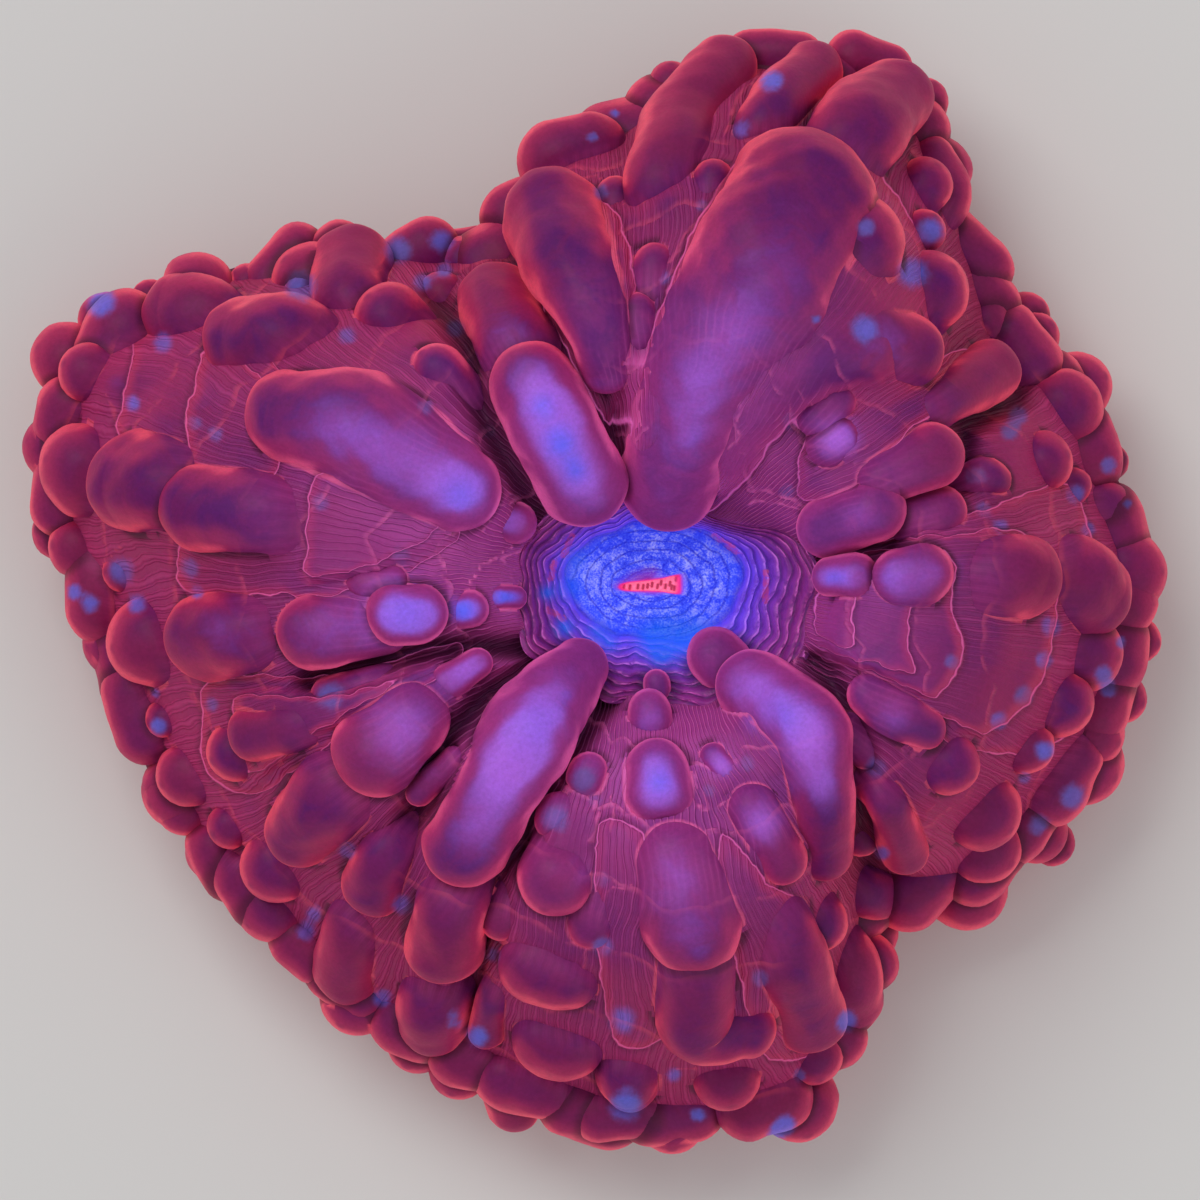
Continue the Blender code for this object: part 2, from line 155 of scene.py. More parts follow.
for lamp_name, lamp_place, size, power in (
    ("soft_lamp", (-0.35, 0.45, 0.8), 0.55, 3.6), ("fill_lamp", (0.55, -0.5, 0.6), 0.7, 1.2),
):
    lamp_data = bpy.data.lights.new(lamp_name, "AREA")
    lamp_data.size = size
    lamp_data.energy = power
    lamp = placed(lamp_name, lamp_data)
    lamp.location = lamp_place
    across, along, up = np.array(lamp_place) - LAMP_AIM
    lamp.rotation_euler = (
        math.atan2(math.hypot(across, along), up), 0.0, math.atan2(across, -along),
    )

world = bpy.data.worlds.new("studio")
world.use_nodes = True
world.node_tree.nodes["Background"].inputs["Color"].default_value = (0.86, 0.87, 0.9, 1)
world.node_tree.nodes["Background"].inputs["Strength"].default_value = 0.62
bpy.context.scene.world = world
bpy.context.scene.view_settings.view_transform = "Standard"

lens = bpy.data.cameras.new("lens")
lens.lens = lens.sensor_width * (LENS_UP - MIDDLE_HEIGHT) / LENS_ACROSS
lens.clip_end = 20.0
camera = placed("camera", lens)
camera.location = (LENS_AT[0] * MM, LENS_AT[1] * MM, LENS_UP)
bpy.context.scene.camera = camera

# The vesicles are bubbles of living tissue that the polyp pumps full of water. They grow out of the
# mantle side by side, from the pit out to the rim, the inner ones over the outer ones, and on down
# the sides. Each is a closed skin round a middle line, and many are joined into one piece.
RIM_INSET = 2.4  # from the outline of the vesicles back to the end of the crown's profile
SKIN_INSET = 1.4  # from the outline of the vesicles back to the mantle's own rim
PIT_CENTRE = (0.9, -0.6)
PIT_HALF = (7.6, 5.6)  # half length and half width of the pit round the oral disc
PIT_SHARPNESS = 2.4  # 2 is an ellipse; more is squarer
SINK = 0.1  # share of its radius by which a vesicle's middle lies below the crown
ROOT, ROOT_DROP, ROOT_SIZE = 1.25, 0.75, 0.85  # in radii of the vesicle's end by the mouth
ROOT_FROM = 0.52  # vesicles have roots from this share of the way out to the outline
FILL_FROM, FILL_TO = 0.46, 0.93  # shares of the way out between which gaps are filled
FILL_GAP = 0.55  # the least distance to the other vesicles at which a gap is filled
FILL_MOST = 1.9  # the largest radius of a vesicle that fills a gap
FILL_SINK = 0.42  # share of its radius by which its middle lies below the mantle's skin
SIDE_TOP = 9.0  # vesicles whose middle lies lower belong to the rows round the sides
CELL = 0.4  # between the points of a vesicle's skin
LUMPS = 0.11  # share of its radius by which a vesicle's skin swells and dips
CREVICE_DEPTH = 2.6
CREVICE_WIDTH = 1.0
LIP = 1.2  # the mantle's inner lip, as a multiple of the distance to the pit's edge
APRON = (0.76, 0.36, 0.34)  # bearing and spread of its apron, and the share it comes further in
DRAPE = (0.3, 0.48)  # share of its radius by which skin climbs a vesicle, by the mouth and far out
DRAPE_LIFT = 0.75  # share of a vesicle's lift by which skin climbs it further
DRAPE_LEAST = 0.2  # the least that skin climbs a vesicle
DRAPE_WIDTH = 1.3  # share of its radius over which that skin falls again
DRAPE_SHIFT = 0.34  # share of its radius by which that skin lies nearer to the mouth
PLEATS = 232  # fine folds of the skin round the polyp
MEMBRANE_STEP = 4.3  # between the membranes that cross the pleats
STEP_BAND = 2.4  # the count of flaps changes over this width, in mm, about an outline
SKIN_TONE = 0.4  # the mantle's own share of warm patches
FAR = 3.0  # no neighbour further off than this, in mm, shades or lights the skin
MAP_HALF = 44.0  # half a side of the square map of heights
MAP_CELL = 0.4
MAP_BLUR = 1.9  # spread of the bell curve that blurs the map

# The outline seen from above: (bearing, distance from the mouth).
OUTLINE = [
    (0, 32.6), (20, 31.3), (39, 29.6), (52, 33.0), (65, 37.0), (80, 35.0), (95, 30.2),
    (103, 30.0), (113, 25.2), (122, 26.2), (135, 31.0), (148, 36.4), (159, 41.2),
    (172, 39.8), (185, 36.2), (205, 34.9), (228, 33.8), (250, 34.6), (270, 36.0),
    (285, 36.4), (297, 30.6), (306, 26.0), (315, 29.6), (335, 31.4), (350, 32.3),
]
# From the edge of the pit out to the rim: (share of the way, height).
CROWN_PROFILE = [
    (0.0, 17.6), (0.08, 19.9), (0.2, 22.2), (0.35, 23.2), (0.5, 22.6), (0.65, 20.5), (0.78, 17.2),
    (0.9, 13.0), (1.0, 9.0), (1.1, 6.0),
]
# Broad swellings of the mantle under the lobes: (x, y, spread, rise).
SWELLINGS = [
    (9.0, 23.0, 9.5, 3.0), (-4.5, 22.5, 5.0, 1.6), (-17.0, 9.5, 6.5, 1.2), (17.0, 10.0, 5.5, 0.8),
    (-9.5, -12.0, 5.0, 0.8), (3.0, -23.0, 6.0, 0.8),
]
# Each vesicle is (lift, points): how far it stands above its usual seat in the mantle, then the
# points (x, y, radius) that its middle line passes.
NORTH_LOBE = [
    (2.4, (-5.9, 22.4, 3.4), (-4.5, 19.2, 2.9), (-3.2, 15.8, 2.0)),
    (1.8, (-5.6, 26.5, 2.7), (-3.6, 27.3, 2.3)),
    (0.6, (1.4, 31.4, 1.5)),
    (2.4, (4.8, 32.3, 2.2), (2.3, 29.2, 2.5), (0.9, 25.3, 2.3)),
    (1.0, (6.4, 33.3, 1.6), (9.4, 33.3, 1.6)),
    (2.6, (10.4, 32.2, 1.9), (7.4, 28.9, 1.9)),
    (1.0, (12.9, 33.0, 1.8), (15.2, 32.5, 1.5)),
    (2.4, (15.0, 30.2, 2.8), (12.6, 27.6, 3.0)),
    (0.4, (17.5, 30.4, 1.5)),
    (0.8, (17.9, 26.7, 1.5), (18.5, 24.0, 1.9)),
    (1.8, (17.2, 24.8, 1.9)),
    (2.4, (17.2, 21.9, 1.4)),
    (1.9, (12.6, 20.8, 3.4)),
    (2.0, (17.4, 18.0, 2.7)),
    (2.0, (15.8, 14.3, 2.5), (12.6, 15.3, 2.6)),
    (1.7, (9.3, 23.6, 4.7), (7.2, 19.0, 5.1), (4.6, 14.4, 4.3), (2.1, 9.8, 3.3), (1.3, 6.1, 3.1)),
]
NORTH_WEST_LOBE = [
    (0.4, (-9.5, 17.7, 2.5), (-8.2, 14.6, 2.5)),
    (1.6, (-7.3, 12.2, 2.7), (-5.8, 9.3, 2.85), (-4.1, 6.1, 2.75)),
    (-0.6, (-11.6, 20.3, 1.6)),
    (-1.4, (-10.8, 21.2, 1.4), (-13.2, 21.2, 1.0)),
    (0.2, (-18.8, 19.6, 2.75), (-18.6, 17.6, 2.3)),
    (-1.0, (-21.3, 18.9, 2.5)),
    (0.2, (-16.2, 16.4, 2.3)),
    (0.2, (-13.1, 13.1, 1.8)),
    (-1.2, (-25.2, 18.8, 1.4)),
    (1.2, (-25.1, 15.3, 2.8), (-22.6, 15.1, 2.9)),
    (1.8, (-22.2, 10.4, 2.9), (-17.2, 9.1, 3.6), (-11.8, 5.7, 2.65)),
    (0.6, (-29.4, 16.7, 2.6), (-27.7, 16.7, 2.5)),
    (-0.4, (-34.3, 16.6, 1.8)),
    (-0.4, (-36.6, 14.0, 2.5)),
    (1.4, (-35.3, 13.2, 1.9)),
    (-0.2, (-37.4, 8.5, 2.2)),
    (0.8, (-35.4, 7.2, 3.0)),
    (1.5, (-31.8, 6.2, 3.3), (-29.8, 6.0, 2.9)),
    (1.6, (-27.8, 4.6, 2.75), (-23.8, 4.2, 2.5)),
    (-0.2, (-8.8, 3.9, 1.35)),
]
WEST_ROW = [
    (-0.8, (-37.3, 3.2, 1.7)),
    (0.0, (-35.9, 2.2, 2.0)),
    (-0.4, (-33.1, 0.6, 1.3)),
    (-0.4, (-33.7, -3.9, 2.1)),
    (0.9, (-31.2, -3.9, 2.9)),
    (1.3, (-27.5, -3.4, 2.8), (-24.6, -3.1, 2.5)),
    (1.3, (-20.9, -3.1, 2.3), (-19.4, -3.1, 2.2)),
    (1.3, (-15.7, -2.0, 1.95), (-14.4, -2.0, 1.95)),
]
SOUTH_WEST_LOBE = [
    (1.0, (-4.25, -5.3, 1.8), (-7.1, -8.8, 3.0), (-9.2, -12.6, 2.6), (-11.4, -16.4, 2.65)),
    (1.0, (-14.8, -8.7, 2.5), (-16.8, -10.6, 2.85)),
    (0.6, (-19.4, -13.0, 2.8), (-21.7, -15.5, 2.4)),
    (0.6, (-16.2, -16.8, 1.7), (-17.2, -18.8, 2.1)),
    (0.4, (-18.3, -21.2, 1.9), (-18.9, -24.4, 2.2)),
    (-0.6, (-18.2, -26.2, 2.6)),
    (-0.6, (-21.8, -23.3, 1.1)),
    (0.2, (-23.4, -17.9, 2.3)),
    (-0.8, (-23.6, -20.2, 2.6)),
    (-0.6, (-27.4, -17.0, 1.9)),
    (0.2, (-26.3, -15.3, 1.5)),
    (-0.6, (-29.6, -13.2, 2.4)),
    (0.4, (-29.0, -12.1, 2.1)),
    (0.2, (-25.8, -10.6, 1.95)),
    (0.8, (-24.4, -9.3, 1.95), (-21.5, -8.9, 1.5)),
    (-0.8, (-32.0, -8.8, 1.8)),
    (0.0, (-30.4, -8.6, 1.3)),
    (0.8, (-12.2, -20.0, 2.3), (-12.9, -22.6, 2.6)),
    (0.4, (-13.2, -26.0, 2.4), (-13.5, -27.6, 2.3)),
    (-0.8, (-14.6, -29.2, 1.9)),
    (-1.0, (-11.9, -30.8, 2.0)),
    (0.2, (-9.7, -25.4, 0.9), (-10.2, -28.1, 1.3)),
    (-0.4, (-9.3, -31.0, 1.5), (-8.5, -33.1, 1.8)),
]
SOUTH_LOBE = [
    (0.2, (0.0, -8.6, 1.4)),
    (1.0, (0.5, -11.8, 2.1), (0.6, -13.1, 2.15)),
    (0.9, (-5.9, -18.4, 2.4)),
    (0.4, (-6.8, -23.8, 2.6), (-5.4, -24.4, 2.5)),
    (0.2, (-6.1, -28.6, 2.5), (-5.1, -28.8, 2.5)),
    (-0.6, (-4.7, -32.3, 2.7), (-2.6, -33.7, 2.4)),
    (0.2, (-1.3, -30.6, 2.1), (-1.1, -31.5, 1.9)),
    (1.4, (1.6, -17.2, 2.4), (2.8, -21.4, 3.1)),
    (1.3, (2.9, -23.5, 2.4), (3.0, -27.6, 2.5), (6.0, -27.9, 2.0)),
    (0.4, (4.9, -31.1, 2.2)),
    (-0.6, (5.9, -33.2, 1.8)),
    (-0.6, (1.4, -34.0, 2.2)),
    (-0.4, (9.5, -33.0, 2.5)),
    (1.1, (8.3, -22.5, 2.5), (10.0, -27.2, 2.4)),
    (0.2, (10.3, -29.9, 1.9)),
    (0.0, (12.2, -24.1, 2.3), (12.5, -26.3, 2.4)),
    (0.2, (10.6, -21.3, 1.9)),
    (-0.8, (14.0, -22.2, 1.9)),
]
SOUTH_EAST_LOBE = [
    (0.4, (4.65, -5.1, 1.8)),
    (1.4, (6.4, -6.5, 2.3), (9.9, -8.9, 2.35), (10.7, -12.5, 2.15), (10.9, -16.8, 1.9)),
    (1.0, (6.4, -14.0, 1.5), (8.2, -17.2, 1.7)),
    (1.3, (13.6, -7.0, 1.35), (15.6, -8.4, 1.5), (17.1, -9.2, 1.35)),
    (1.1, (18.7, -11.3, 2.0)),
    (0.9, (20.9, -14.4, 2.5)),
    (-0.6, (21.2, -16.6, 2.45)),
    (-1.8, (20.2, -19.5, 2.6)),
    (0.7, (14.7, -13.6, 1.3), (16.0, -16.8, 1.6)),
    (-0.4, (13.4, -19.4, 1.7), (15.5, -19.5, 1.85)),
]
EAST_LOBE = [
    (2.3, (11.4, 0.3, 1.3), (12.8, 0.3, 1.45)),
    (2.3, (15.6, 0.4, 1.8), (16.9, 0.5, 2.0)),
    (1.3, (21.4, 0.4, 2.6), (23.0, 0.2, 2.7)),
    (0.7, (26.3, 0.2, 2.7), (27.5, -0.7, 2.85)),
    (0.0, (30.2, 0.6, 2.6)),
    (-0.2, (31.0, -3.8, 1.5)),
    (0.2, (27.4, -4.4, 2.5)),
    (0.4, (25.8, -7.6, 2.2)),
    (0.0, (23.7, -10.3, 1.8)),
    (-0.6, (30.0, -7.4, 1.6)),
    (0.0, (27.9, -9.6, 2.2)),
    (-0.8, (27.3, -11.5, 2.8)),
    (-0.4, (25.3, -13.2, 1.9)),
    (-1.2, (24.6, -15.8, 2.0)),
    (1.4, (11.0, 3.3, 1.85), (14.0, 4.4, 2.0)),
    (1.0, (14.4, 6.3, 1.6), (17.6, 7.8, 2.05)),
    (0.6, (17.8, 10.8, 1.4), (21.2, 13.1, 2.1)),
    (0.6, (11.65, 8.9, 1.5)),
    (0.4, (24.7, 7.5, 1.9)),
    (0.2, (26.1, 10.9, 2.6)),
    (-0.6, (27.1, 12.2, 2.35)),
    (-0.4, (23.9, 16.8, 1.6)),
    (0.0, (24.5, 15.6, 1.5)),
    (0.0, (21.5, 18.4, 1.4), (21.6, 16.2, 1.3)),
]
SMALL_VESICLES = [
    (-0.6, (-15.8, 20.9, 1.15)),
    (-0.6, (-21.8, 18.3, 1.2)),
    (-0.6, (-31.5, 18.0, 1.2)),
    (-0.6, (-35.2, -1.0, 1.1)),
    (0.2, (-11.6, -1.8, 1.2)),
    (0.0, (-9.4, -1.0, 0.8), (-8.4, -1.0, 0.8)),
    (-0.2, (-19.9, -7.1, 1.2), (-17.6, -6.3, 1.0)),
    (0.4, (-10.7, -5.1, 1.0), (-12.6, -6.4, 1.2)),
    (0.0, (-12.2, -11.1, 0.9), (-14.3, -13.1, 0.9)),
    (0.0, (0.5, -6.7, 0.9)),
    (0.4, (-3.9, -12.2, 1.2)),
    (0.0, (-5.8, -14.8, 1.3)),
    (-1.4, (25.6, -16.6, 1.5)),
    (0.0, (4.0, -10.9, 0.9), (5.0, -12.1, 0.9)),
    (0.3, (20.8, 6.6, 1.2), (21.5, 6.3, 1.1)),
    (-0.6, (20.5, 20.8, 1.1)),
    (-0.2, (29.2, 7.6, 1.2)),
]
VESICLES = [
    *NORTH_LOBE, *NORTH_WEST_LOBE, *WEST_ROW, *SOUTH_WEST_LOBE, *SOUTH_LOBE, *SOUTH_EAST_LOBE,
    *EAST_LOBE, *SMALL_VESICLES,
]
# Crevices that part the lobes, each along the points (x, y).
CREVICES = [
    [(-2.1, 4.6), (-2.4, 10.5), (-3.6, 13.3), (-5.8, 15.5), (-7.4, 18.5), (-9.2, 21.5)],
    [(-7.2, 4.6), (-9.3, 8.3), (-10.9, 11.8), (-11.2, 14.2), (-13.4, 17.8)],
    [(10.4, 1.6), (11.9, 1.2), (14.9, 2.4), (15.9, 4.9), (19.4, 6.4)],
    [(19.4, 6.4), (19.6, 9.7), (22.9, 11.4), (23.4, 12.9), (22.4, 15.9), (22.6, 18.6)],
    [(10.5, -5.2), (12.6, -8.0), (13.1, -12.0), (13.4, -16.0), (14.2, -18.4), (17.2, -20.6)],
    [(-2.6, -7.1), (-6.1, -12.1), (-7.9, -16.1), (-9.6, -18.1), (-11.1, -24.6), (-11.6, -28.1)],
    [(-6.1, -4.6), (-10.1, -7.1), (-12.6, -9.6), (-14.1, -13.6), (-16.1, -17.1)],
    [(-7.5, -4.2), (-11.0, -4.1), (-13.4, -4.0), (-18.0, -5.3), (-20.8, -6.0)],
]
# Places where the skin between vesicles is blown up too: (x, y, spread, rise).
PILLOWS = [
    (9.5, 18.5, 4.2, 2.6), (5.6, 17.2, 3.4, 2.6), (12.0, 24.6, 3.0, 2.3), (1.8, 21.6, 2.2, 0.9),
    (14.6, 17.4, 3.0, 2.2), (0.0, 24.4, 2.6, 1.0), (-3.0, 20.5, 3.0, 1.6), (9.0, 13.0, 3.4, 1.4),
    (-24.2, 12.4, 3.0, 1.6), (-31.0, 9.6, 2.8, 1.6), (-24.6, 8.2, 2.6, 0.9), (-33.0, 14.0, 2.6, 1.0),
    (-15.2, 14.0, 2.2, 0.8), (-20.0, 13.8, 2.6, 1.0), (-19.5, 2.4, 2.4, 0.5), (-26.0, 0.4, 2.0, 0.4),
    (-1.8, -17.5, 2.2, 1.0), (-2.0, -23.4, 2.6, 1.2), (6.2, -19.5, 2.8, 1.5), (8.8, -24.0, 3.0, 1.3),
    (-2.4, -27.8, 2.4, 0.8), (5.6, -23.8, 2.4, 1.0), (24.0, -8.6, 3.0, 0.9), (18.0, 5.0, 2.6, 0.7),
    (22.8, 5.6, 3.0, 0.9), (13.6, -14.0, 1.8, 0.6), (-23.0, -8.0, 3.0, 0.8), (-28.6, -8.0, 2.2, 0.6),
    (-22.6, -18.8, 2.2, 0.6), (17.4, 14.0, 2.0, 0.6),
]
# Raised folds of the skin, each along the points (x, y).
FOLD_LINES = [
    [(-16.8, 1.2), (-16.8, 0.3), (-16.0, 0.2)],
    [(-33.2, 2.2), (-34.0, 1.2), (-34.1, 0.2)],
    [(-32.6, 9.3), (-33.6, 10.6), (-34.0, 11.9)],
    [(-10.3, 3.2), (-9.0, 5.3), (-8.0, 4.9), (-8.3, 2.3), (-9.5, 1.6), (-11.0, 0.1), (-10.3, -1.0)],
    [(-31.2, -6.8), (-31.5, -8.2), (-30.9, -9.6), (-30.8, -11.0)],
    [(-14.4, -13.2), (-13.8, -14.8)],
    [(-17.3, -24.6), (-17.0, -26.8), (-16.3, -28.4)],
    [(-11.5, -18.8), (-10.4, -18.6), (-9.0, -18.2)],
    [(-9.8, -19.5), (-9.6, -21.5), (-10.2, -23.5), (-9.9, -25.0)],
    [(-3.4, -13.6), (-3.3, -15.2), (-3.6, -16.2)],
    [(-2.3, -13.2), (-2.2, -15.5)],
    [(-3.6, -19.2), (-3.2, -19.7), (-2.2, -19.2), (-0.9, -18.7)],
    [(-4.0, -24.1), (-3.8, -22.9), (-3.1, -22.2), (-2.9, -21.2)],
    [(1.9, -13.8), (3.9, -14.1), (5.0, -13.9)],
    [(3.0, -11.8), (3.1, -12.8), (3.6, -13.8)],
    [(0.9, -31.2), (2.0, -30.4), (3.6, -30.6)],
    [(8.6, -31.4), (9.5, -31.0), (11.3, -30.9)],
    [(15.2, -10.2), (15.9, -11.2), (15.6, -12.2)],
    [(18.0, -13.3), (17.4, -14.2), (17.2, -15.8)],
    [(23.9, -12.1), (24.4, -11.2), (25.3, -10.6)],
    [(24.6, -15.6), (25.4, -14.8), (26.3, -14.4)],
    [(6.0, 4.7), (7.0, 5.1), (8.6, 4.7), (9.6, 4.3), (10.6, 4.4), (11.2, 4.6)],
    [(9.5, 6.2), (11.0, 7.2), (12.6, 7.9), (13.6, 8.6)],
    [(16.1, 2.7), (17.0, 3.0), (17.6, 3.6), (17.3, 4.4)],
    [(20.1, 7.7), (21.3, 7.4), (22.0, 6.6), (22.2, 5.6)],
    [(22.9, 14.1), (23.8, 13.5), (24.9, 13.1)],
    [(28.8, 8.3), (29.2, 6.8), (29.6, 5.6)],
    [(-5.6, 25.0), (-4.7, 25.2), (-3.6, 25.3), (-2.4, 24.8)],
    [(-2.4, 24.2), (-1.3, 23.6), (0.2, 23.8)],
    [(1.2, 19.8), (2.1, 21.3), (3.2, 22.4), (4.6, 23.2)],
    [(12.6, 22.8), (14.2, 21.6), (15.4, 20.7)],
    [(4.9, 28.0), (5.6, 30.2), (7.6, 33.0)],
    [(9.9, 30.4), (10.6, 30.6), (11.4, 31.3), (12.0, 32.0)],
    [(5.6, 14.8), (6.2, 13.2), (5.5, 11.4), (5.6, 9.4), (5.0, 8.0)],
    [(9.4, 11.6), (10.6, 10.6), (12.4, 10.4)],
]
# Broad flaps, blown up between the vesicles: how high, over how wide an edge, and the outline.
FLAPS = [
    (4.4, 2.6, (-1.6, 5.4), (-1.3, 9.0), (-0.2, 14.6), (2.0, 20.4), (4.6, 25.2), (7.4, 27.7),
     (11.0, 28.0), (14.4, 25.6), (16.6, 22.6), (18.2, 19.4), (17.6, 15.6), (15.3, 12.4),
     (11.8, 11.6), (8.8, 9.8), (6.0, 6.2), (3.4, 3.9), (0.4, 3.5)),
    (3.0, 1.8, (-9.4, 23.2), (-8.6, 24.9), (-6.4, 25.4), (-4.0, 24.4), (-1.8, 22.8), (-0.8, 18.4),
     (-1.4, 13.6), (-2.4, 9.6), (-4.4, 12.8), (-6.4, 16.4), (-7.6, 18.8), (-8.8, 21.0)),
    (2.5, 0.5, (8.6, 0.2), (10.6, 0.6), (10.9, -1.0), (10.9, -2.8), (10.8, -4.2), (9.8, -4.2),
     (8.7, -3.4), (8.5, -1.4)),
    (2.3, 0.5, (8.6, 0.8), (12.4, 0.8), (12.8, -1.0), (12.7, -3.4), (13.0, -5.0), (10.6, -4.6),
     (9.4, -4.0), (8.6, -1.4)),
    (2.1, 0.5, (8.8, 1.0), (13.0, 1.4), (16.0, 1.0), (16.4, -1.4), (16.1, -3.6), (16.5, -5.8),
     (13.6, -5.5), (10.2, -4.5), (8.8, -2.0)),
    (2.0, 0.7, (9.4, 1.2), (14.5, 2.8), (17.6, 2.4), (19.1, 1.0), (18.9, -1.6), (19.7, -4.2),
     (18.8, -6.3), (17.4, -7.4), (15.4, -6.6), (13.2, -5.6), (10.6, -4.7), (9.0, -3.2)),
    (1.4, 0.7, (12.0, 2.4), (17.6, 3.2), (22.5, 3.3), (24.7, 2.1), (25.7, -0.1), (25.4, -3.3),
     (24.9, -5.4), (23.8, -7.6), (20.8, -9.7), (18.0, -8.9), (13.6, -6.0), (10.6, -4.4)),
    (0.8, 0.7, (14.0, 2.0), (20.0, 4.2), (24.0, 5.8), (26.2, 6.4), (27.2, 5.1), (28.1, 2.7),
     (30.0, 0.4), (30.2, -0.9), (29.5, -3.9), (29.1, -6.5), (27.7, -8.7), (25.0, -10.5),
     (21.8, -10.9), (17.6, -9.0), (13.4, -6.2), (10.4, -4.2), (10.6, 0.6)),
    (0.9, 0.9, (-12.4, 3.2), (-16.0, 0.6), (-21.0, -0.6), (-28.8, -0.8), (-29.4, 2.2),
     (-28.9, 4.6), (-28.8, 8.0), (-29.0, 10.5), (-28.4, 12.6), (-27.8, 14.6), (-24.0, 13.4),
     (-21.0, 10.2), (-15.0, 6.2)),
    (0.8, 0.8, (-32.0, 15.6), (-32.7, 13.2), (-33.2, 11.0), (-33.4, 9.2), (-32.0, 6.6),
     (-28.0, 5.0), (-24.4, 4.6), (-22.6, 8.0), (-22.4, 11.0), (-24.6, 14.6), (-28.0, 16.4)),
    (1.6, 0.8, (-12.0, 3.8), (-15.4, 1.2), (-21.3, -0.4), (-21.4, 1.6), (-21.3, 4.0),
     (-20.8, 6.4), (-18.0, 7.2)),
    (1.0, 0.8, (-12.0, -4.2), (-20.0, -6.4), (-24.2, -6.2), (-27.8, -6.2), (-28.1, -8.8),
     (-28.2, -11.0), (-27.2, -12.6), (-25.0, -13.4), (-21.0, -10.6), (-15.6, -7.0)),
    (1.7, 0.8, (-12.0, -4.4), (-19.0, -6.4), (-25.6, -6.6), (-25.9, -9.0), (-25.6, -11.0),
     (-24.4, -12.4), (-20.6, -9.8), (-15.0, -6.8)),
    (1.2, 1.4, (9.2, 5.4), (11.4, 4.9), (13.6, 5.0), (15.2, 8.2), (17.8, 10.4), (21.0, 12.2),
     (21.2, 14.4), (18.6, 14.4), (16.0, 12.0), (12.6, 11.0), (9.8, 9.4)),
    (1.0, 1.2, (-3.2, -15.0), (-0.6, -15.4), (1.0, -19.0), (1.6, -24.4), (1.0, -28.6),
     (-1.8, -29.2), (-3.0, -25.6), (-3.4, -20.6)),
    (1.2, 1.2, (4.6, -15.4), (7.4, -18.6), (9.8, -20.0), (11.4, -23.6), (12.2, -28.4),
     (9.4, -30.2), (6.8, -29.4), (5.4, -24.0), (4.2, -19.2)),
]
# Rows of vesicles that carry on round the rim and down the sides, below the widest part:
# (how many, distance in from the outline, height, radius).
LOWER_ROWS = [(46, 2.7, 8.9, 2.3), (36, 5.6, 6.0, 2.5), (24, 9.0, 4.0, 2.2)]
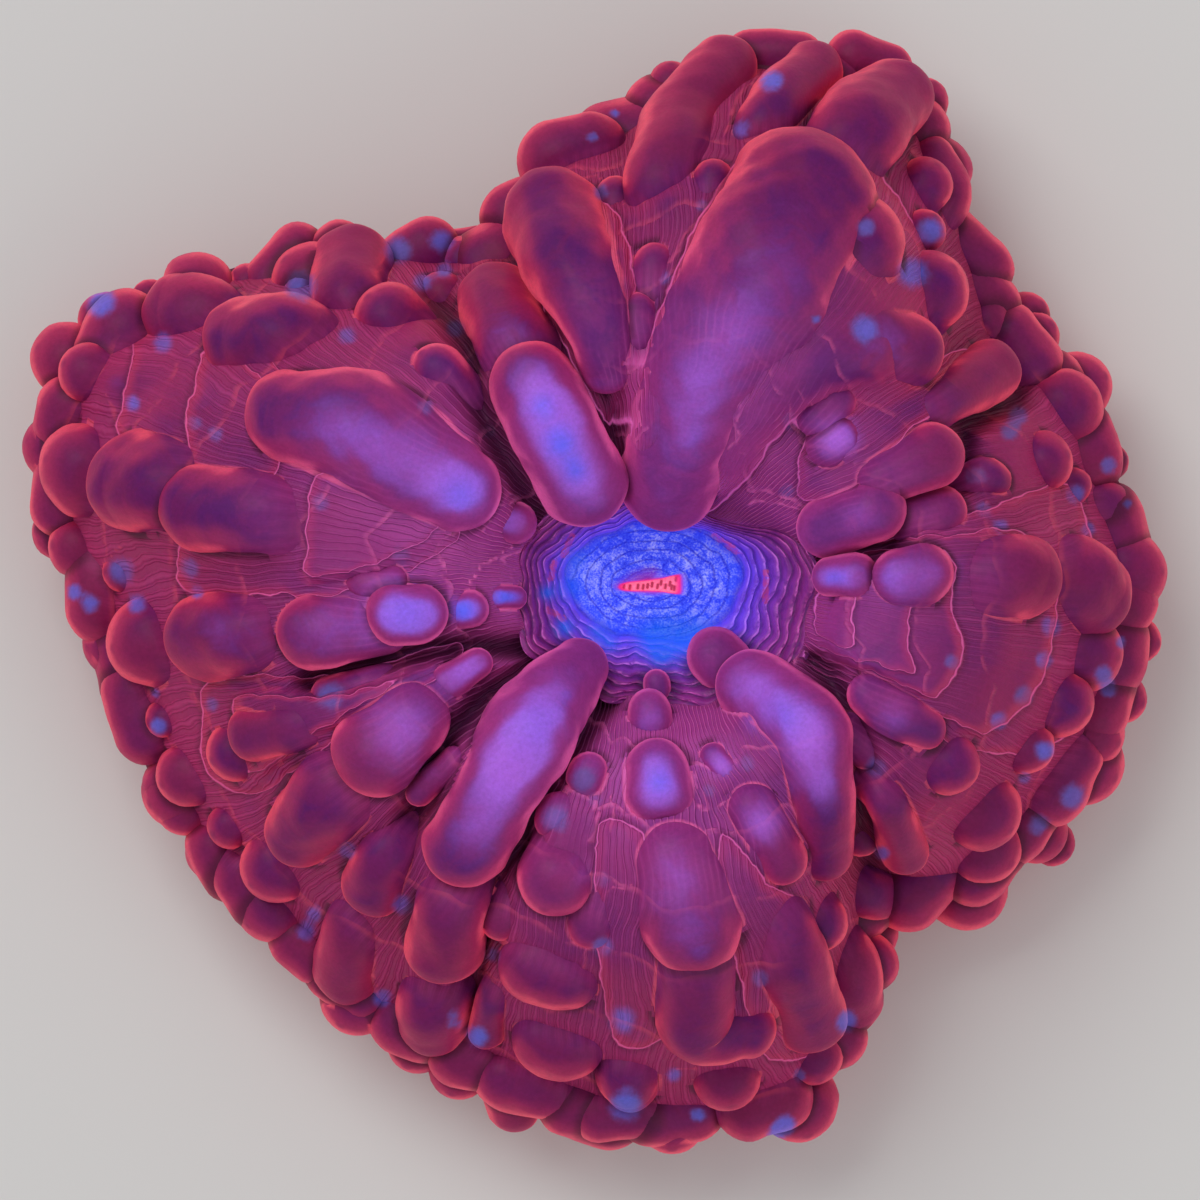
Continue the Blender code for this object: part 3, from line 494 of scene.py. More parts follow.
# Small bluish warts: (x, y, radius, from 0 grey violet to 1 bright blue).
WARTS = [
    (-34.5, 17.6, 1.2, 1.0), (-30.5, 15.0, 0.8, 0.7), (-32.4, 11.2, 0.7, 1.0),
    (-28.4, 9.9, 0.6, 0.2), (-27.0, 9.2, 0.6, 0.2), (-20.4, 4.9, 0.7, 0.2),
    (-15.4, 1.6, 0.7, 0.1), (-33.1, 0.7, 1.0, 0.4), (-28.7, 0.85, 0.8, 0.2),
    (-28.2, -0.7, 0.5, 0.7), (-32.1, -1.4, 0.75, 0.8), (-36.2, -0.6, 0.6, 0.9),
    (-35.1, -1.4, 0.7, 0.8), (-18.8, 15.3, 0.7, 0.4), (-14.2, 18.8, 0.75, 0.4),
    (-12.8, 19.6, 0.6, 0.5), (-21.8, 18.5, 1.2, 0.4), (-15.8, 20.9, 1.1, 0.4),
    (-13.0, 21.5, 0.9, 0.8), (-12.1, 15.8, 0.7, 0.5), (-13.8, 10.8, 0.6, 0.2),
    (-10.0, 9.3, 0.5, 0.1), (-31.0, -7.0, 0.4, 0.8), (-30.85, -9.1, 0.7, 0.8),
    (-27.4, -7.7, 0.6, 0.2), (-19.8, -7.1, 1.1, 0.3), (-21.0, -20.8, 0.6, 0.8),
    (-21.6, -22.0, 0.75, 0.8), (-15.4, -20.2, 0.8, 0.7), (-18.8, -16.8, 0.7, 0.3),
    (-16.8, -26.2, 0.75, 0.9), (-12.3, -27.5, 0.6, 0.5), (-10.8, -28.6, 0.9, 1.0),
    (-9.8, -23.3, 0.6, 0.3), (-1.7, -27.4, 1.1, 0.9), (-2.9, -22.7, 0.8, 0.4),
    (-3.0, -18.5, 0.6, 0.2), (-3.3, -13.7, 0.5, 0.2), (-5.8, -14.7, 1.0, 0.3),
    (-4.1, -12.3, 1.0, 0.1), (-1.4, -32.9, 1.3, 0.9), (1.6, -31.0, 0.6, 1.0),
    (3.1, -33.6, 0.6, 0.8), (8.7, -34.2, 0.8, 1.0), (8.0, -34.8, 0.6, 1.0),
    (9.5, -31.1, 0.5, 0.2), (12.4, -27.6, 0.9, 0.8), (6.9, -24.7, 0.7, 0.1),
    (3.7, -13.0, 0.5, 0.2), (6.1, -11.3, 0.6, 0.2), (14.6, -17.0, 0.6, 0.6),
    (14.1, -11.6, 0.8, 0.2), (25.1, -2.8, 0.8, 0.8), (24.7, -4.9, 0.7, 0.8),
    (23.4, -7.1, 0.8, 0.1), (21.8, -8.7, 0.7, 0.7), (28.5, -5.8, 0.7, 0.4),
    (29.0, -6.8, 0.6, 0.4), (29.7, -3.8, 0.5, 0.3), (24.8, -10.6, 0.8, 0.8),
    (23.6, -12.3, 0.5, 0.4), (26.7, -13.5, 1.0, 0.4), (24.6, -15.3, 0.8, 0.3),
    (18.8, -5.0, 0.6, 0.2), (23.2, 10.5, 0.7, 0.4), (22.5, 9.4, 0.7, 0.1),
    (20.3, 6.6, 0.7, 0.0), (20.8, 4.5, 0.6, 0.2), (21.9, 3.4, 0.6, 0.7),
    (26.8, 5.5, 0.8, 0.5), (27.6, 3.3, 0.6, 0.8), (29.0, 7.3, 0.7, 0.3),
    (30.2, 4.9, 0.4, 0.8), (8.7, 9.9, 0.6, 0.5), (8.6, 5.6, 0.6, 0.3),
    (13.3, 15.6, 1.1, 0.8), (16.4, 19.2, 1.2, 1.0), (13.4, 21.9, 0.7, 0.3),
    (17.6, 21.9, 1.0, 0.7), (7.7, 31.3, 0.9, 1.0), (5.8, 28.2, 0.7, 0.8),
    (-3.0, 24.3, 0.6, 0.2), (-3.5, 27.9, 0.4, 0.6), (-2.2, 29.5, 0.4, 0.8),
    (3.3, 23.3, 0.5, 0.1), (1.0, 18.8, 0.5, 0.5), (10.3, 16.2, 0.4, 0.7),
]
# Where the tissue is violet, which also gives it a painted glow: (x, y, spread, strength).
VIOLET = [
    (-6.6, 11.6, 2.2, 0.8), (-5.0, 8.4, 2.4, 1.0), (-3.9, 6.2, 1.8, 0.6), (3.2, 12.2, 2.6, 0.5),
    (2.4, 8.8, 2.0, 0.4), (-12.0, 5.6, 2.2, 1.0), (-15.5, 7.9, 2.6, 0.45), (-19.4, 8.9, 2.8, 0.45),
    (-15.1, -2.0, 2.5, 1.0), (-20.2, -3.0, 2.2, 0.35), (-11.6, -1.8, 1.3, 0.9),
    (-8.9, -1.0, 1.1, 0.9), (-6.6, -8.4, 2.9, 1.0), (-8.6, -11.6, 2.5, 0.9),
    (-10.6, -15.2, 2.2, 0.45), (-15.4, -9.4, 2.4, 0.55), (-11.4, -5.5, 1.6, 0.7),
    (0.4, -12.4, 2.0, 1.0), (0.0, -8.6, 1.2, 0.4), (6.9, -7.0, 2.2, 0.9), (9.6, -9.4, 2.0, 0.85),
    (10.6, -12.4, 1.8, 0.5), (4.5, -11.4, 1.0, 0.8), (6.9, -14.9, 1.5, 0.6),
    (1.5, -18.0, 2.0, 0.4), (2.6, -22.0, 2.2, 0.3), (15.0, 0.2, 1.8, 0.55), (11.5, 0.2, 1.2, 0.9),
    (18.0, 0.4, 1.4, 0.4), (11.7, 8.9, 1.4, 0.8), (13.0, 4.0, 1.4, 0.35), (-8.8, 3.8, 1.3, 0.7),
    (8.0, 19.4, 3.0, 0.22), (5.4, 15.6, 2.4, 0.4), (14.4, 14.6, 1.8, 0.3), (0.9, 5.2, 1.8, 0.2),
    (-9.0, 15.6, 1.8, 0.3), (15.2, -8.2, 1.4, 0.35), (-27.4, 12.0, 2.0, 0.2),
    (-4.2, -18.2, 1.6, 0.25), (-33.7, 12.8, 1.6, 0.25), (-26.4, -3.2, 2.0, 0.25),
]
# Where the violet turns to bright blue: (x, y, spread, strength).
BLUE = [
    (-5.5, 8.6, 1.0, 0.9), (-4.6, 6.9, 0.8, 0.8), (-6.6, 10.8, 0.8, 0.6), (3.4, 8.4, 0.9, 0.3),
    (-11.7, 5.3, 1.3, 0.5), (-15.1, -1.9, 1.8, 0.45), (-11.6, -1.8, 0.9, 1.0),
    (-8.9, -1.0, 0.9, 1.0), (-4.7, -7.4, 0.6, 1.0), (0.6, -12.4, 0.9, 0.6), (8.2, -8.4, 1.4, 0.4),
    (-6.8, -8.8, 2.0, 0.25), (14.6, 0.3, 0.9, 0.2), (11.5, 0.2, 0.8, 0.6),
]


def soft_step(value, low, high):
    """0 below low and 1 above high, and 3t^2 - 2t^3 between; falls where low is the larger."""
    t = np.clip((value - low) / (high - low), 0, 1)
    return t * t * (3 - 2 * t)


def bell(distance, width):
    """1 at no distance, and exp(-(distance / width)^2) further off."""
    return np.exp(-((distance / width) ** 2))


def eased(value, table, spread, period=None):
    """A table read at a value, with its corners rounded: the mean of five readings round it."""
    table = np.array(table, dtype=float)
    readings = [
        np.interp(value + step * spread, table[:, 0], table[:, 1], period=period)
        for step in (-1, -0.5, 0, 0.5, 1)
    ]
    return np.mean(readings, axis=0)


def outline(bearing):
    """Distance from the mouth to the vesicles' outline at a bearing in radians."""
    return eased(np.degrees(bearing) % 360, OUTLINE, 3.0, period=360)


def pit_edge(bearing):
    """Distance from the mouth to the pit's edge: a squared-off ellipse, moved off the mouth."""
    across = np.abs(np.cos(bearing) / PIT_HALF[0]) ** PIT_SHARPNESS
    along = np.abs(np.sin(bearing) / PIT_HALF[1]) ** PIT_SHARPNESS
    moved = PIT_CENTRE[0] * np.cos(bearing) + PIT_CENTRE[1] * np.sin(bearing)
    return (across + along) ** (-1 / PIT_SHARPNESS) + moved


def crown(x, y):
    """Height of the mantle's top outside the pit: the crown's profile and the lobes' swellings."""
    bearing = np.arctan2(y, x)
    pit = pit_edge(bearing)
    share = (np.hypot(x, y) - pit) / (outline(bearing) - RIM_INSET - pit)
    height = eased(share, CROWN_PROFILE, 0.03)
    for centre_x, centre_y, spread, rise in SWELLINGS:
        height = height + rise * bell(np.hypot(x - centre_x, y - centre_y), spread)
    return height


def outward(x, y):
    """0 at the mouth and 1 at the polyp's outline."""
    return np.hypot(x, y) / outline(np.arctan2(y, x))


def far_out(x, y):
    """0 near the mouth and 1 far out, where the skin is calmer and vesicles rise out of it."""
    return soft_step(outward(x, y), 0.3, 0.6)


def extended(points):
    """The points, with one more straight on before the first and after the last."""
    return np.vstack([2 * points[:1] - points[1:2], points, 2 * points[-1:] - points[-2:-1]])


def curve(points, count):
    """Evenly shared stations on a Catmull-Rom curve from the second point to the last but one.

    It is a cubic through the points, whose slope at each is half of the step from the point
    before to the point after.
    """
    place = np.linspace(0, len(points) - 3, count)
    left = np.minimum(place.astype(int), len(points) - 4)
    t = (place - left)[:, None]
    a, b, c, d = (points[left + k] for k in range(4))
    line = 0.5 * (2 * b + (c - a) * t + (2 * a - 5 * b + 4 * c - d) * t**2)
    return line + 0.5 * (3 * b - a - 3 * c + d) * t**3


def middle_line(points, count=8):
    """A bubble's middle line, with its radius as a fourth number, at evenly shared stations.

    A bubble of one point gets a short line that leads away from the mouth.
    """
    points = np.array(points, dtype=float)
    if len(points) == 1:
        out = points[0, :2] / max(np.hypot(*points[0, :2]), 0.001)
        step = np.array([*out, 0.0, 0.0]) * points[0, 3]
        points = np.vstack([points[0] - 0.4 * step, points[0] + 0.06 * step])
    return curve(extended(points), count)


def rounded(points, closed=False):
    """A line through the points with its corners rounded."""
    points = np.array(points, dtype=float)
    spaced = extended(points)
    if closed:
        spaced = np.vstack([points[-1:], points, points[:2]])
    return curve(spaced, 3 * (len(spaced) - 3) + 1)


def line_gap(x, y, lines):
    """Distance from each place to the nearest of some lines, over the stretches of each."""
    nearest = np.full(np.shape(x), np.inf)
    for line in lines:
        for (ax, ay), (bx, by) in zip(line[:-1], line[1:]):
            run = np.array([bx - ax, by - ay])
            along = np.clip(((x - ax) * run[0] + (y - ay) * run[1]) / (run @ run), 0, 1)
            away = np.hypot(x - ax - along * run[0], y - ay - along * run[1])
            nearest = np.minimum(nearest, away)
    return nearest


def waves(x, y, size, turn=0.0):
    """Slow wandering from -1 to 1: the mean of three crossing sine waves about size apart."""
    total = 0
    for k, phase in enumerate((0.4, 2.2, 4.7)):
        angle = turn + k * 2.1
        run = (x * math.cos(angle) + y * math.sin(angle)) * 2 * math.pi / size
        total = total + np.sin(run * (1 + 0.17 * k) + phase + 1.3 * turn)
    return total / 3


def pleat_wander(x, y):
    """How far the pleats wander from even shares round the mouth, in pleats."""
    near = 1 - 0.85 * soft_step(outward(x, y), 0.3, 0.55)
    fine = waves(x, y, 3.4, 1.0) * 0.5 + waves(x, y, 1.5, 2.0) * 0.22
    return waves(x, y, 9.0) * 0.9 + fine * near


def pleat_count(x, y, bearing):
    """How many pleats lie between +X and a place, counted clockwise round the mouth."""
    return -PLEATS * bearing / (2 * math.pi) + pleat_wander(x, y)


def membrane_count(bearing, beyond):
    """How many membranes lie between the mantle's inner lip and a place, with their scallops."""
    scallops = 0.14 * np.abs(np.sin(10.5 * bearing)) + 0.07 * np.abs(np.sin(23 * bearing + 0.6))
    drift = 0.22 * np.sin(3 * bearing + 1.0) + 0.16 * np.sin(7 * bearing + 2.6)
    return beyond / MEMBRANE_STEP + scallops + drift


def lip_edge(bearing):
    """Distance from the mouth to the mantle's inner lip, with its soft scallops.

    On one side an apron of skin comes further in, by a bell curve of the bearing.
    """
    scallops = 0.022 * np.sin(9 * bearing + 0.5) + 0.018 * np.sin(17 * bearing + 2.0)
    off = (bearing - APRON[0] + math.pi) % (2 * math.pi) - math.pi
    return pit_edge(bearing) * (LIP + scallops) * (1 - APRON[2] * bell(off, APRON[1]))


def wandered(x, y, much):
    """Places moved by up to much, in mm, so that a line laid through them waves about."""
    return (
        x + much * (waves(x, y, 2.3) + 0.4 * waves(x, y, 0.8, 2.0)),
        y + much * (waves(x, y, 2.0, 1.5) + 0.4 * waves(x, y, 0.9, 0.4)),
    )


def flap_depths(x, y):
    """Each flap's rise and edge, with how far in from its outline each place is: below 0 outside."""
    x, y = wandered(x, y, 0.14)
    for rise, edge, *points in FLAPS:
        loop = rounded(points, closed=True)
        inside = np.zeros(np.shape(x), bool)
        for (ax, ay), (bx, by) in zip(loop[:-1], loop[1:]):
            crossed = (ay > y) != (by > y)
            slope = (bx - ax) / (by - ay) if by != ay else 0.0
            inside ^= crossed & (x < ax + (y - ay) * slope)
        yield rise, edge, line_gap(x, y, [loop]) * np.where(inside, 1, -1)


def flap_rise(x, y):
    """Height of each broad flap, to the fourth power, summed over the flaps.

    At a distance d in from its outline a flap stands rise x sqrt(1 - (1 - d / edge)^2) high, and
    further in than its edge is wide it is level.
    """
    total = np.zeros(np.shape(x))
    for rise, edge, depth in flap_depths(x, y):
        total += (rise * np.sqrt(1 - (1 - np.clip(depth / edge, 0, 1)) ** 2)) ** 4
    return total


def flap_count(x, y):
    """How many flaps lie over a place: each counts in full from half a STEP_BAND in."""
    total = np.zeros(np.shape(x))
    for _, _, depth in flap_depths(x, y):
        total += np.clip((depth - 0.12) / STEP_BAND, -0.5, 0.5) + 0.5
    return total


def fold_gap(x, y):
    """Distance from each place to the nearest raised fold, which wanders about its line."""
    lines = [rounded(line) for line in FOLD_LINES]
    return np.minimum(line_gap(*wandered(x, y, 0.25), lines), FAR)


def drape(x, y):
    """How far the skin is drawn up: bumps round the vesicles, pillows and flaps.

    They are joined by a fourth-power sum. A vesicle's bump falls from its middle by a bell curve
    as wide as DRAPE_WIDTH radii. Its middle lies nearer to the mouth than the vesicle's, so a
    vesicle grows out of the skin and overhangs it outside.
    """
    total = flap_rise(x, y)
    for lift, *points in VESICLES:
        line = middle_line([(px, py, 0.0, radius) for px, py, radius in points])
        out = line[:, :2] / np.hypot(line[:, 0], line[:, 1])[:, None]
        centres = line[:, :2] - DRAPE_SHIFT * line[:, 3:] * out
        widest = line[:, 3].max()
        low, high = centres.min(0) - 3 * widest, centres.max(0) + 3 * widest
        near = (x > low[0]) & (x < high[0]) & (y > low[1]) & (y < high[1])
        if not near.any():
            continue
        away = np.hypot(x[near][:, None] - centres[:, 0], y[near][:, None] - centres[:, 1])
        share = (away / line[:, 3]).min(axis=1)
        climb = DRAPE[0] + (DRAPE[1] - DRAPE[0]) * far_out(*line[len(line) // 2, :2])
        height = max(climb * widest + DRAPE_LIFT * lift, DRAPE_LEAST)
        total[near] += (height * bell(share, DRAPE_WIDTH)) ** 4
    for px, py, spread, rise in PILLOWS:
        total += (rise * bell(np.hypot(x - px, y - py), spread)) ** 4
    return total**0.25


def skin_top(x, y):
    """Height of the mantle's skin: the crown less the crevices, drawn up between lip and rim.

    A crevice is CREVICE_DEPTH deep on its line and shallower beside it, by a bell curve.
    """
    bearing = np.arctan2(y, x)
    lip = lip_edge(bearing)
    share = (np.hypot(x, y) - lip) / (outline(bearing) - SKIN_INSET - lip)
    fade = soft_step(share, 0.0, 0.1) * (1 - soft_step(share, 0.93, 1))
    trench = CREVICE_DEPTH * bell(line_gap(x, y, CREVICES), CREVICE_WIDTH)
    return crown(x, y) - trench + drape(x, y) * fade


def lumps(points, size, turn):
    """Soft swells from -1 to 1: the mean of four sine waves about size apart, each its own way."""
    ways = np.array([(1, 0.4, 0.3), (-0.5, 1, 0.6), (0.3, -0.7, 1), (0.8, 0.8, -0.5)])
    ways = ways / np.linalg.norm(ways, axis=1)[:, None]
    return np.sin(points @ ways.T * (2 * math.pi / size) + turn * np.arange(1, 5)).mean(-1)


def bubble_rings(points, turn):
    """The skin of a round-ended bubble along its middle line, with its middle and upper side.

    Each end is closed by a half ball: a ring of the cap stands back by radius x cos(angle) and is
    radius x sin(angle) wide. Points lie closest on top, where the angle round the line is
    w - 0.45 sin(w) for even steps of w. The skin then swells and dips by a share of the radius.
    """
    rough = middle_line(points)
    length = np.linalg.norm(np.diff(rough[:, :3], axis=0), axis=1).sum()
    widest = rough[:, 3].max()
    line = middle_line(points, max(3, round(length / CELL)))
    cap = int(np.clip(widest * math.pi / 2 / CELL, 4, 12))
    around = int(np.clip(2 * math.pi * widest / CELL * 0.86, 16, 52))
    way = np.gradient(line[:, :3], axis=0)
    way /= np.linalg.norm(way, axis=1)[:, None]
    angle = np.linspace(0, math.pi / 2, cap, endpoint=False)[:, None]
    first = line[0, :3] - way[0] * line[0, 3] * np.cos(angle)
    final = line[-1, :3] + way[-1] * line[-1, 3] * np.cos(angle[::-1])
    centres = np.vstack([first, line[:, :3], final])
    radii = np.concatenate([
        line[0, 3] * np.sin(angle[:, 0]), line[:, 3], line[-1, 3] * np.sin(angle[::-1, 0]),
    ])
    ways = np.vstack([np.repeat(way[:1], cap, 0), way, np.repeat(way[-1:], cap, 0)])
    side = np.cross([0.0, 0.0, 1.0], ways)
    side /= np.linalg.norm(side, axis=1)[:, None]
    over = np.cross(ways, side)
    w = np.linspace(0, 2 * math.pi, around, endpoint=False)
    round_it = (w - 0.45 * np.sin(w))[None, :, None]
    spread = over[:, None] * np.cos(round_it) - side[:, None] * np.sin(round_it)
    rings = centres[:, None] + radii[:, None, None] * spread
    swell = lumps(rings, 3.6 * widest**0.5, turn) + 0.3 * lumps(rings, 1.9, turn + 1)
    rings = rings + spread * (LUMPS * radii[:, None] * swell)[..., None]
    return rings, *(np.broadcast_to(held[:, None], rings.shape) for held in (centres, over))


def gap_to(points, line):
    """Distance from each point to a bubble's skin, with its middle's height and radius there.

    It is the least, over the stretches of the middle line, of the distance to the stretch less
    the radius there.
    """
    start, run = line[:-1], np.diff(line, axis=0)
    offset = points[:, None] - start[:, :3]
    along = (offset * run[:, :3]).sum(-1) / (run[:, :3] ** 2).sum(-1)
    along = np.clip(along, 0, 1)
    nearest = np.linalg.norm(offset - along[..., None] * run[:, :3], axis=-1)
    gaps = nearest - start[:, 3] - along * run[:, 3]
    best = gaps.argmin(axis=1)
    row = np.arange(len(points))
    there = start[best] + along[row, best][:, None] * run[best]
    return gaps[row, best], there[:, 2], there[:, 3]


def neighbours(points, middles, own=None):
    """Distances to the nearest bubble that lies over a point and to the nearest that lies under it.

    A bubble lies over a point if its middle is higher than the height given as the point's own
    middle. One that lies under it counts as further off where its skin is nearly level there.
    """
    over, under = np.full(len(points), FAR), np.full(len(points), FAR)
    for index, line in enumerate(middle_lines):
        if index == own:
            continue
        reach = line[:, 3].max() + FAR
        low, high = line[:, :3].min(0) - reach, line[:, :3].max(0) + reach
        near = np.flatnonzero(((points > low) & (points < high)).all(1))
        if not len(near):
            continue
        gap, height, radius = gap_to(points[near], line)
        higher = height > middles[near]
        level = soft_step((points[near, 2] - height) / radius, 0.45, 0.7)
        over[near] = np.where(higher, np.minimum(over[near], gap), over[near])
        under[near] = np.where(higher, under[near], np.minimum(under[near], gap + FAR * level))
    return np.maximum(over, 0), np.maximum(under, 0)


def glow(points, spots):
    """How strongly a table of spots colours each point: the sum of their bell curves, up to 1."""
    total = sum(
        strength * bell(np.hypot(points[:, 0] - x, points[:, 1] - y), spread)
        for x, y, spread, strength in spots
    )
    return np.clip(total, 0, 1)


def level_map():
    """Heights of the whole top on a square grid, blurred by a bell curve."""
    lines = np.arange(-MAP_HALF, MAP_HALF + MAP_CELL / 2, MAP_CELL)
    x, y = np.meshgrid(lines, lines, indexing="ij")
    blurred = skin_top(x, y)
    for line in middle_lines:
        for px, py, pz, radius in line:
            away = (x - px) ** 2 + (y - py) ** 2
            inside = away < radius**2
            dome = pz + np.sqrt(radius**2 - away[inside])
            blurred[inside] = np.maximum(blurred[inside], dome)
    reach = round(3 * MAP_BLUR / MAP_CELL)
    steps = np.arange(-reach, reach + 1)
    weights = np.exp(-0.5 * (steps * MAP_CELL / MAP_BLUR) ** 2)
    for axis in (0, 1):
        moved = (weight * np.roll(blurred, step, axis) for weight, step in zip(weights, steps))
        blurred = sum(moved) / weights.sum()
    return blurred


def standing(points):
    """How far each point stands above the blurred top round it: below 0 in a valley."""
    place = (points[:, :2] + MAP_HALF) / MAP_CELL
    cell = np.clip(place.astype(int), 0, len(levels) - 2)
    part = np.clip(place - cell, 0, 1)
    column, row = cell.T
    near = levels[column, row] * (1 - part[:, 0]) + levels[column + 1, row] * part[:, 0]
    far = levels[column, row + 1] * (1 - part[:, 0]) + levels[column + 1, row + 1] * part[:, 0]
    return points[:, 2] - near * (1 - part[:, 1]) - far * part[:, 1]


def pleated_share(points):
    """1 in the valleys, where skin keeps its pleats, and 0 on the domes, where it is blown up."""
    return 1 - 0.88 * soft_step(standing(points), -0.5, 0.5)


def mantle_share(points):
    """How much of the pleats' colours the mantle shows at each point: less further out."""
    return pleated_share(points) * (1 - 0.45 * far_out(points[:, 0], points[:, 1]))


def seated(lift, points):
    """A vesicle's points over the crown, and far out one more that roots it in the skin.

    The root lies ROOT radii in from the end by the mouth, and lower, so the vesicle slants up out
    of the skin. A vesicle that lies across has no root.
    """
    line = [(x, y, float(crown(x, y)) - SINK * radius + lift, radius) for x, y, radius in points]
    if math.hypot(*line[0][:2]) > math.hypot(*line[-1][:2]):
        line.reverse()
    (x, y, z, radius), (last_x, last_y) = line[0], line[-1][:2]
    far = math.hypot(x, y)
    run = math.hypot(last_x, last_y) - far
    lies_out = len(line) == 1 or run > 0.6 * math.hypot(last_x - x, last_y - y)
    if outward(x, y) > ROOT_FROM and lies_out:
        share = 1 - ROOT * radius / far
        line.insert(0, (x * share, y * share, z - ROOT_DROP * radius, ROOT_SIZE * radius))
    return line


def lower_vesicles():
    """The rows below the widest part, each bubble a little different and leaning round the polyp."""
    rng = np.random.default_rng(11)
    rows = []
    for count, inset, height, radius in LOWER_ROWS:
        for k in range(count):
            bearing = 2 * math.pi * (k + rng.uniform(-0.25, 0.25)) / count
            size = radius * rng.uniform(0.86, 1.12)
            reach = float(outline(bearing)) - inset - (size - radius)
            z = height + rng.uniform(-0.5, 0.5)
            lean = rng.uniform(0.6, 1.5)
            swing = np.array([-math.sin(bearing), math.cos(bearing)]) * lean
            middle = np.array([math.cos(bearing), math.sin(bearing)]) * reach
            rows.append([(*(middle - swing), z, size), (*(middle + swing), z, size * 0.94)])
    return rows


def fill_vesicles(lines):
    """Small low vesicles where the others leave bare skin on the outer part of the crown.

    Places are tried along a spiral on which each lies 2.4 radians on from the last, its distance
    growing as a square root, so they are evenly strewn. A vesicle is as wide as its gap allows.
    """
    k = np.arange(2800)
    x, y = 0.76 * np.sqrt(k) * np.cos(2.4 * k), 0.76 * np.sqrt(k) * np.sin(2.4 * k)
    way_out = outward(x, y)
    bare = (way_out > FILL_FROM) & (way_out < FILL_TO) & (flap_rise(x, y) < 0.01)
    skin = skin_top(x[bare], y[bare])
    made, lines = [], list(lines)
    for place, height in zip(np.column_stack([x, y])[bare], skin):
        gap = min((np.hypot(*(line[:, :2] - place).T) - line[:, 3]).min() for line in lines)
        if gap < FILL_GAP:
            continue
        size = min(0.8 + 0.75 * gap, FILL_MOST)
        inner = place * (1.0 - 1.1 * size / np.hypot(*place))
        z = height - FILL_SINK * size
        made.append([(*inner, z + 0.2 * size, 0.9 * size), (*place, z, size)])
        lines.append(middle_line(made[-1]))
    return made


bubbles = [seated(lift, points) for lift, *points in VESICLES]
bubbles += fill_vesicles([middle_line(points) for points in bubbles])
bubbles += lower_vesicles()
middle_lines = [middle_line(points) for points in bubbles]
levels = level_map()


def closed_surface(rings):
    """Points, four-sided faces, end fans and their pattern maps, of a closed grid of rings.

    The first and the last ring are single points. Column a of ring k joins column a + 1, and the
    last column joins the first. A map runs from 0 to 1 round a ring and from ring to ring.
    """
    count, around = rings.shape[0] - 2, rings.shape[1]
    points = np.vstack([rings[0, :1], rings[1:-1].reshape(-1, 3), rings[-1, :1]])
    here = 1 + np.arange(count * around).reshape(count, around)
    beside = np.roll(here, -1, axis=1)
    walls = np.stack([here[:-1], beside[:-1], beside[1:], here[1:]], axis=-1).reshape(-1, 4)
    last = np.full(around, len(points) - 1)
    fans = np.vstack([
        np.stack([np.zeros(around, int), beside[0], here[0]], axis=-1),
        np.stack([last, here[-1], beside[-1]], axis=-1),
    ])
    left = np.arange(around) / around
    right = left + 1 / around
    ring = np.arange(1.0, count)[:, None] + 0 * left
    low, high = left + 0 * ring, right + 0 * ring
    corners = [(low, ring), (high, ring), (high, ring + 1), (low, ring + 1)]
    wall_map = np.stack([np.stack(pair, -1) for pair in corners], axis=2).reshape(-1, 4, 2)
    middle, start, end = (left + right) / 2, 0 * left, 0 * left + count + 1
    first_fan = [(middle, start), (right, start + 1), (left, start + 1)]
    final_fan = [(middle, end), (left, end - 1), (right, end - 1)]
    fan_map = np.vstack([
        np.stack([np.stack(pair, -1) for pair in fan], axis=1) for fan in (first_fan, final_fan)
    ])
    steps = np.array([1.0, 1.0 / (count + 1)])
    return points, walls, fans, wall_map * steps, fan_map * steps


def on_points(values):
    """Numbers or triples held on the rings, in the order of closed_surface's points."""
    inner = values[1:-1].reshape(-1, *values.shape[2:])
    return np.concatenate([values[0, :1], inner, values[-1, :1]])


def grid_normals(rings):
    """The outward direction at each grid point: the cross product of the two ways along the grid."""
    along = np.gradient(rings, axis=0)
    around = np.roll(rings, -1, axis=1) - np.roll(rings, 1, axis=1)
    normal = np.cross(around, along)
    length = np.linalg.norm(normal, axis=-1, keepdims=True)
    return normal / np.maximum(length, 1e-9)


def make_piece(name, points, walls, fans, numbers, maps, material):
    """A named piece from points in millimetres, its faces, its held numbers and its maps.

    A map is given as the corners of the four-sided faces and those of the fans.
    """
    mesh = bpy.data.meshes.new(name)
    mesh.from_pydata((points * MM).tolist(), [], walls.tolist() + fans.tolist())
    for label, values in numbers.items():
        held = mesh.attributes.new(label, "FLOAT", "POINT")
        held.data.foreach_set("value", np.ascontiguousarray(values, np.float32))
    for label, corner_maps in maps.items():
        corners = np.concatenate([corner_map.ravel() for corner_map in corner_maps])
        layer = mesh.uv_layers.new(name=label)
        layer.uv.foreach_set("vector", corners.astype(np.float32))
    mesh.materials.append(material)
    mesh.shade_smooth()
    piece = placed(name, mesh)
    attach(piece, "root")
    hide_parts("polyp")


def melting(points, shape):
    """How far a bubble melts into the mantle, from 0 to 1: where it is low and towards the mouth.

    Only bubbles far out on the crown melt, and only on the mouth's side of their middle.
    """
    middle, widest = np.mean(shape, axis=0)[:3], max(radius for *_, radius in shape)
    if middle[2] < SIDE_TOP:
        return np.zeros(len(points))
    x, y, z = points.T
    way_out = middle[:2] / np.hypot(*middle[:2])
    behind = (middle[:2] - points[:, :2]) @ way_out / widest
    low = soft_step(z - skin_top(x, y), 2.6, 0.05)
    return soft_step(behind, -0.9, -0.1) * low * far_out(x, y)


